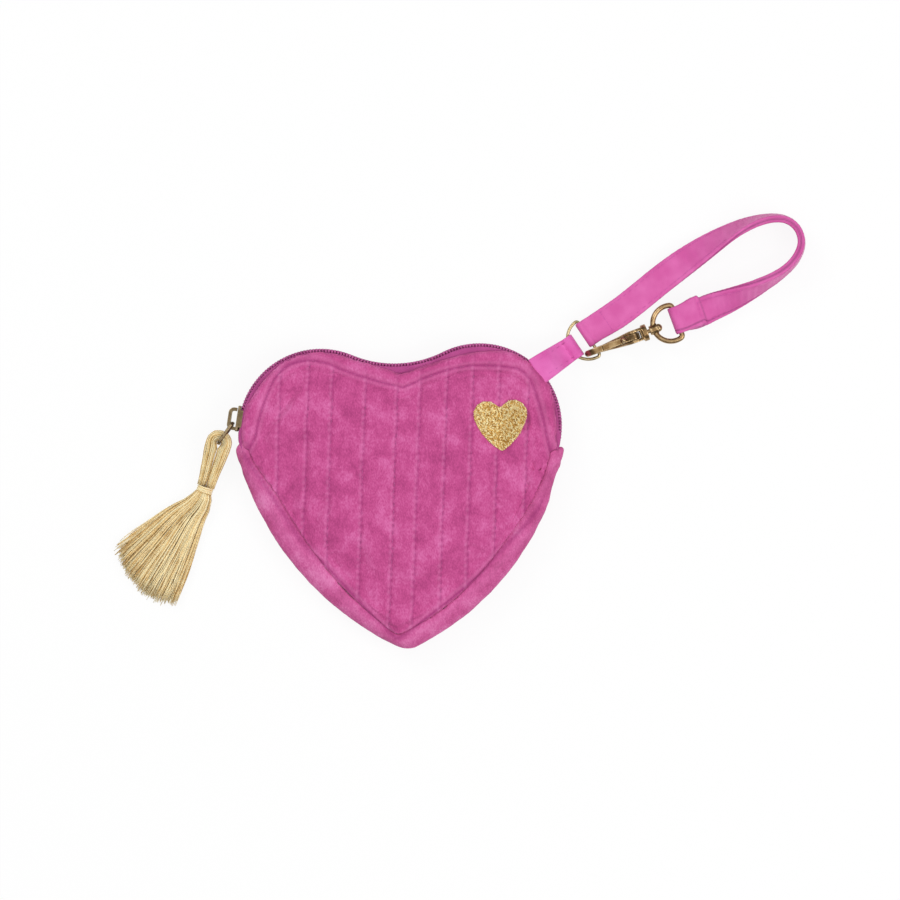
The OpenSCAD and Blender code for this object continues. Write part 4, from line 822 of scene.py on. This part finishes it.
# The sewn-down flap at the hook's end is one layer thicker and ends 10 mm from the eye's bar
flap_at = (co[:, :2] - strap_last) @ along_hook
flap_side = (co[:, :2] - strap_last) @ across_hook
on_flap = (1 - step(10.0, 10.3, flap_at)) * (np.abs(flap_side) < 8) * (flap_at > -3) * (co[:, 2] > 5.4)
co[:, 2] += 0.45 * on_flap * step(1.0, 4.0, flap_at)
co[:, :2] += across_hook * (1.1 * on_flap * step(1, 9, flap_at))[:, None]
flap_edge_painted_shade = np.exp(-((flap_at - 10.35) / 0.3) ** 2) * (np.abs(flap_side) < 8) * (co[:, 2] > 5.4)
co[:, 2] += (0.16 * grain(co[:, :2], 14, 3.9) + 0.05 * grain(co[:, :2], 2.6, 1.1)) * step(72, 78, co[:, 0])
co[:, 2] = np.maximum(co[:, 2], 0.05)
move_points(strap, co * MM)
modified(strap, "SMOOTH", factor=0.5, iterations=3)
# Painted shade in the crease along each long edge, at the flap's end and on the lower layer that shows round
# the bend
face_attribute(strap, "stitched", 0.75 * on_edge + 0.5 * flap_edge_painted_shade + 0.8 * second_layer)
strap.data.materials.append(strap_weave)
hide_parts("wrist_strap")
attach(strap, "strap")

strap_surface, tab_surface = surface_of(strap), surface_of(tab)
spots = []
stations = forward(centre_line, 2.9)
for i in range(2, len(stations) - 2):
    here, ahead = stations[i], stations[i + 1]
    u = ahead[:2] - here[:2]
    u /= np.linalg.norm(u)
    if here[2] > 55:
        continue
    turn = math.radians(here[2])
    inward = np.array([u[1], -u[0]])
    across_tape = np.array([*(inward * math.cos(turn)), math.sin(turn)])
    normal = np.array([*(-inward * math.sin(turn)), math.cos(turn)])
    for place_across in (-4.0, 4.0):
        for face in (-1, 1):
            spot = np.array([*here[:2], strap_height]) + across_tape * place_across + normal * 0.9 * face
            found = strap_surface.find_nearest(Vector(spot * MM))
            if found[0] is not None and found[3] < 0.9 * MM:
                spots.append((found[0] - found[1] * 0.05 * MM, (u[0], u[1], 0), found[1]))
for start, along_fold, low, high in ((strap_last, along_hook, 8.8, 9.6), (strap_first, along_tab, 8.4, 9.2)):
    across_fold = np.array([-along_fold[1], along_fold[0]])
    for share in np.linspace(-3.2, 3.2, 4):
        spot = start + along_fold * (low + high) / 2 + across_fold * share
        place_found, normal = spot_below(strap_surface, *spot)
        if place_found is not None:
            spots.append((place_found - normal * 0.05 * MM, (*across_fold, 0), normal))
strap_stitches = sew("strap_stitching", spots, one_stitch(2.1 * MM, 0.16 * MM))
strap_stitches.data.materials.append(strap_thread)
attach(strap_stitches, "strap")
spots = []
for side in (-3.1, 3.1):
    line = [bar_spot + along_tab * s + across_tab * (side - 0.5) for s in np.arange(-21, -6.6, 0.5)]
    spots += running(tab_surface, line, 1.8, 0.8, 0.05, 0.03, 70 + int(side))
line = [bar_spot + along_tab * -9.4 + across_tab * s for s in np.arange(-3.2, 2.6, 0.5)]
spots += running(tab_surface, line, 1.4, 0.6, 0.05, 0.0, 90)
tab_stitches = sew("tab_stitching", spots, one_stitch(1.8 * MM, 0.15 * MM))
tab_stitches.data.materials.append(strap_thread)
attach(tab_stitches, "purse")

# Tassel. Rayon silk yarn in old gold, doubled over the puller's link, bound with three turns at the
# neck and cut to a ragged end. Each strand is a fine twisted yarn that shines along its length.
pivot = np.array([-67.01, 19.55, zip_height])
low_corner, high_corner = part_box("tassel_wrap")
neck_middle = np.array((low_corner + high_corner) / 2) / MM
down = (neck_middle - pivot)[:2]
down /= np.linalg.norm(down)
sideways = np.array([down[1], -down[0]])
turn_r, bundle_half, neck_half, loop_gap, neck_gap = 2.95, 2.0, 3.4, 0.95, 0.06
# Heights are counted from the pivot: the neck lies at 3.6 mm, the lowest strands at 0.22 mm
bundle_h, head_length, wrap_length, neck_drop = 2.0, 17.0, 2.57, 3.6 - zip_height
loop_strands, skirt_strands, golden_turn = 92, 760, 2.39996
silk_dice = random.Random(12)


def to_world(local):
    local = np.asarray(local)
    flat_part = pivot[:2] + np.outer(local[:, 0], sideways) + np.outer(local[:, 1], down)
    return np.column_stack([flat_part, pivot[2] + local[:, 2]])


def ease(t):
    t = min(max(t, 0), 1)
    return t * t * (3 - 2 * t)


def strand_mesh(name, strands, sides=4):
    """A mesh of thin tubes; a strand is its points in mm, its radius in mm and its tone"""
    all_points, all_faces, tones, along = [], [], [], []
    for path_points, radius, tone in strands:
        p = np.array(path_points, float)
        ways = np.gradient(p, axis=0)
        ways /= np.linalg.norm(ways, axis=1, keepdims=True)
        start = len(all_points)
        travelled = lengths_along(p)
        for i, (q, w) in enumerate(zip(p, ways)):
            a = np.cross(w, [0.1, 0.2, 1.0])
            a /= np.linalg.norm(a)
            b = np.cross(w, a)
            r = radius * (0.55 if i == len(p) - 1 else 1)
            for k in range(sides):
                turn = 2 * math.pi * k / sides + 0.6
                all_points.append((q + r * (math.cos(turn) * a + math.sin(turn) * b)) * MM)
                tones.append(tone)
                along.append(travelled[i] * MM)
        for i in range(len(p) - 1):
            for k in range(sides):
                c, d = start + i * sides + k, start + i * sides + (k + 1) % sides
                all_faces.append((c, c + sides, d + sides, d))
        all_faces.append([start + k for k in range(sides)])
        all_faces.append([start + (len(p) - 1) * sides + k for k in reversed(range(sides))])
    piece = mesh_piece(name, [tuple(q) for q in all_points], all_faces)
    face_attribute(piece, "tone", tones)
    face_attribute(piece, "along", along)
    return piece


def leg_at(t, side):
    outside = turn_r + bundle_half + (neck_half - turn_r - bundle_half) * ease(t)
    within = loop_gap + (neck_gap - loop_gap) * ease(t * 8)
    return (side * (outside + within) / 2, t * head_length, neck_drop * t, 180 + 90 * side,
            (outside - within) / 2)


head_run = [leg_at(i / 8, -1) for i in range(8, 0, -1)]
head_run += [(turn_r * math.cos(a), turn_r * math.sin(a), 0, math.degrees(a) - 90, bundle_half)
             for a in np.radians(180 + 180 * np.arange(11) / 10)]
head_run += [leg_at(i / 8, 1) for i in range(1, 9)]
strands = []
for n in range(loop_strands):
    ring = math.sqrt((n + 0.5) / loop_strands) * 0.93
    around = n * golden_turn + silk_dice.uniform(-0.1, 0.1)
    twist = silk_dice.uniform(-0.35, 0.35)
    line = []
    for i, (x, y, z, facing, half) in enumerate(head_run):
        spin = around + twist * (i / len(head_run) - 0.5)
        u, v = ring * math.cos(spin), ring * math.sin(spin)
        side = math.radians(facing - 90)
        jitter = silk_dice.uniform(-0.08, 0.08)
        line.append((x + (u * half + jitter) * math.cos(side), y + (u * half + jitter) * math.sin(side),
                     z + v * bundle_h * 0.97))
    strands.append((to_world(line), silk_dice.uniform(0.17, 0.25), silk_dice.random()))
loop = strand_mesh("silk_tassel_loop", strands)

silk, tree, place = new_material("old_gold_rayon_silk")
tone = add(tree, "Attribute", attribute_name="tone").outputs["Fac"]
run_along = add(tree, "Attribute", attribute_name="along").outputs["Fac"]
streak = add(tree, "TexNoise", {"Vector": place, "Scale": 330, "Detail": 2})
ply = add(tree, "Math", {0: run_along, 1: 5200.0}, operation="MULTIPLY")
ply = add(tree, "Math", {0: ply}, operation="SINE")
blend_tone = add(tree, "Math", {0: streak, 1: 0.7, 2: tone}, operation="MULTIPLY_ADD")
blend_tone = add(tree, "Math", {0: ply, 1: 0.05, 2: blend_tone}, operation="MULTIPLY_ADD")
ramp = add(tree, "ValToRGB", {0: blend_tone},
           stops=[(0.25, linear("#C0954C")), (1.0, linear("#FFEFC0")), (0.62, linear("#F2D08C"))])
shader = add(tree, "BsdfPrincipled", {"Base Color": ramp, "Roughness": 0.42, "Specular IOR Level": 0.5,
                                                "Sheen Weight": 0.15, "Anisotropic": 0.5})
add(tree, "OutputMaterial", {"Surface": shader})
loop.data.materials.append(silk)
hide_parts("tassel_loop")
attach(loop, "tassel")

# The binding: three turns of the same yarn, each of a few plies
strands = []
for turn_no in range(3):
    for ply_no in range(7):
        a = ply_no * 2 * math.pi / 7
        at, ring = head_length + 0.9 * (0.55 + 0.85 * turn_no) + 0.27 * math.cos(a), 2.65 + 0.27 * math.sin(a)
        line = [(ring * math.cos(t), at + 0.06 * math.sin(3 * t + ply_no), neck_drop + ring * math.sin(t))
                for t in np.linspace(0, 2 * math.pi, 41)]
        strands.append((to_world(line), 0.19, silk_dice.random()))
binding = strand_mesh("silk_tassel_binding", strands)
binding.data.materials.append(silk)
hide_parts("tassel_wrap")
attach(binding, "tassel")

strands = []
skirt_length, skirt_half, neck_radius, floor_level = 46.5, 16.2, 2.17, 0.22 - zip_height
for n in range(skirt_strands):
    ring = math.sqrt(silk_dice.random()) * 0.97
    a = silk_dice.uniform(0, 2 * math.pi)
    cut = silk_dice.gauss(0, 0.9) - 0.3
    droop, phase, sway = silk_dice.uniform(0.0, 0.3), silk_dice.uniform(0, 6.28), silk_dice.uniform(0.0, 0.6)
    line = []
    for k in range(12):
        t = k / 11
        half_w = neck_radius + (skirt_half - neck_radius) * t ** 0.85
        half_t = neck_radius + (2.0 - neck_radius) * ease(2 * t)
        turn, leaning = math.radians(-26 * t), math.radians(-16.2 * ease(3 * t))
        curl = sway * (math.sin(5 * t + phase) + 0.4 * math.sin(13 * t + 2 * phase)) * t
        spread = math.cos(a) * half_w * ring + curl
        shorter_outside = 1 - 0.13 * (math.cos(a) * ring) ** 2
        length = wrap_length * 0.3 + (skirt_length - wrap_length) * t * shorter_outside + cut * t
        centre = neck_drop + (half_t + floor_level - neck_drop) * ease(3 * t)
        line.append((spread * math.cos(turn) - length * math.sin(leaning),
                     head_length + length * math.cos(leaning) + spread * math.sin(turn),
                     max(centre + half_t * math.sin(a) * ring - droop * t, floor_level)))
    strands.append((to_world(line), silk_dice.uniform(0.14, 0.26), silk_dice.random()))
skirt = strand_mesh("silk_tassel_skirt", strands, sides=3)
skirt.data.materials.append(silk)
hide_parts("tassel_skirt")
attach(skirt, "tassel")

# Badge. A plain heart embroidered in metallic gold thread of 0.32 mm through the velvet: the left half
# in short stitches every way, the right half in slanting rows, with a row of small loops at the edge.
badge = worked_copy("heart_badge", "embroidered_heart_ground", 0.25)
co = points_of(badge) / MM
# The embroidery lies on the quilted velvet and rises with it
velvet_top, badge_top = heights_on(surface_of(front), co[:, :2]), heights_on(surface_of(badge), co[:, :2])
co[:, 2] += np.nan_to_num(np.maximum(0, velvet_top + 0.42 - badge_top))
move_points(badge, co * MM)
badge_surface = surface_of(badge)
badge_run = silhouette("heart_badge", badge_middle)
row_pitch, row_slant, tried_stitches = 0.5, 0.9, 3400
gold_dice = random.Random(7)
spots, tones = [], []


def stitch_at(x, y, angle, lift, tone_value):
    found, normal = spot_below(badge_surface, x, y)
    if found is not None:
        tilt = gold_dice.uniform(-0.12, 0.12)
        spots.append((found - straight_down * lift * MM, (math.cos(angle), math.sin(angle), tilt), normal))
        tones.append(tone_value)


low, high = np.min(badge_run, axis=0), np.max(badge_run, axis=0)
tries = np.array([(gold_dice.uniform(low[0], high[0]), gold_dice.uniform(low[1], high[1]))
                  for n in range(tried_stitches)])
for x, y in tries[inside_of(badge_run, tries) & (distance_to(badge_run, tries) > 0.35)]:
    if x < 37.4:
        angle = gold_dice.uniform(0, math.pi)
    else:
        x = round((x + y * row_slant) / row_pitch) * row_pitch - y * row_slant
        angle = math.radians(128) + gold_dice.uniform(-0.2, 0.2)
    stitch_at(x, y, angle, gold_dice.uniform(-0.08, 0.1), gold_dice.random() ** 1.2)
rim_run = np.array(badge_run + badge_run[:1])
for p in forward(rim_run, 0.6):
    inwards = np.array([37.2, 25.5]) - p
    inwards /= np.linalg.norm(inwards)
    p = p + inwards * gold_dice.uniform(0.3, 0.5)
    stitch_at(p[0], p[1], math.atan2(inwards[1], inwards[0]) + gold_dice.uniform(-0.5, 0.5), 0.0,
              gold_dice.uniform(0.3, 1.0))
gold_stitches = sew("gold_thread_stitches", spots, one_stitch(0.95 * MM, 0.16 * MM), tones)

gold, tree, place = new_material("metallic_gold_embroidery_thread")
tone = add(tree, "Attribute", attribute_name="tone").outputs["Fac"]
foil = add(tree, "TexNoise", {"Vector": place, "Scale": 2300, "Detail": 2})
mixed_tone = add(tree, "Math", {0: foil, 1: 0.5, 2: tone}, operation="MULTIPLY_ADD")
ramp = add(tree, "ValToRGB", {0: mixed_tone},
           stops=[(0.25, linear("#B07C2C")), (0.98, linear("#FFF2BC")), (0.6, linear("#EABB62"))])
shader = add(tree, "BsdfPrincipled", {"Base Color": ramp, "Metallic": 0.3, "Roughness": 0.34})
add(tree, "OutputMaterial", {"Surface": shader})
ground = thread_cloth("gold_embroidery_ground", "#A4762A", "#D4AA52", 1500.0)
co[:, 2] -= 0.12
move_points(badge, co * MM)
badge.data.materials.append(ground)
gold_stitches.data.materials.append(gold)
for piece in (badge, gold_stitches):
    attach(piece, "purse")
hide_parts("heart_badge")
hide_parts("heart_badge")
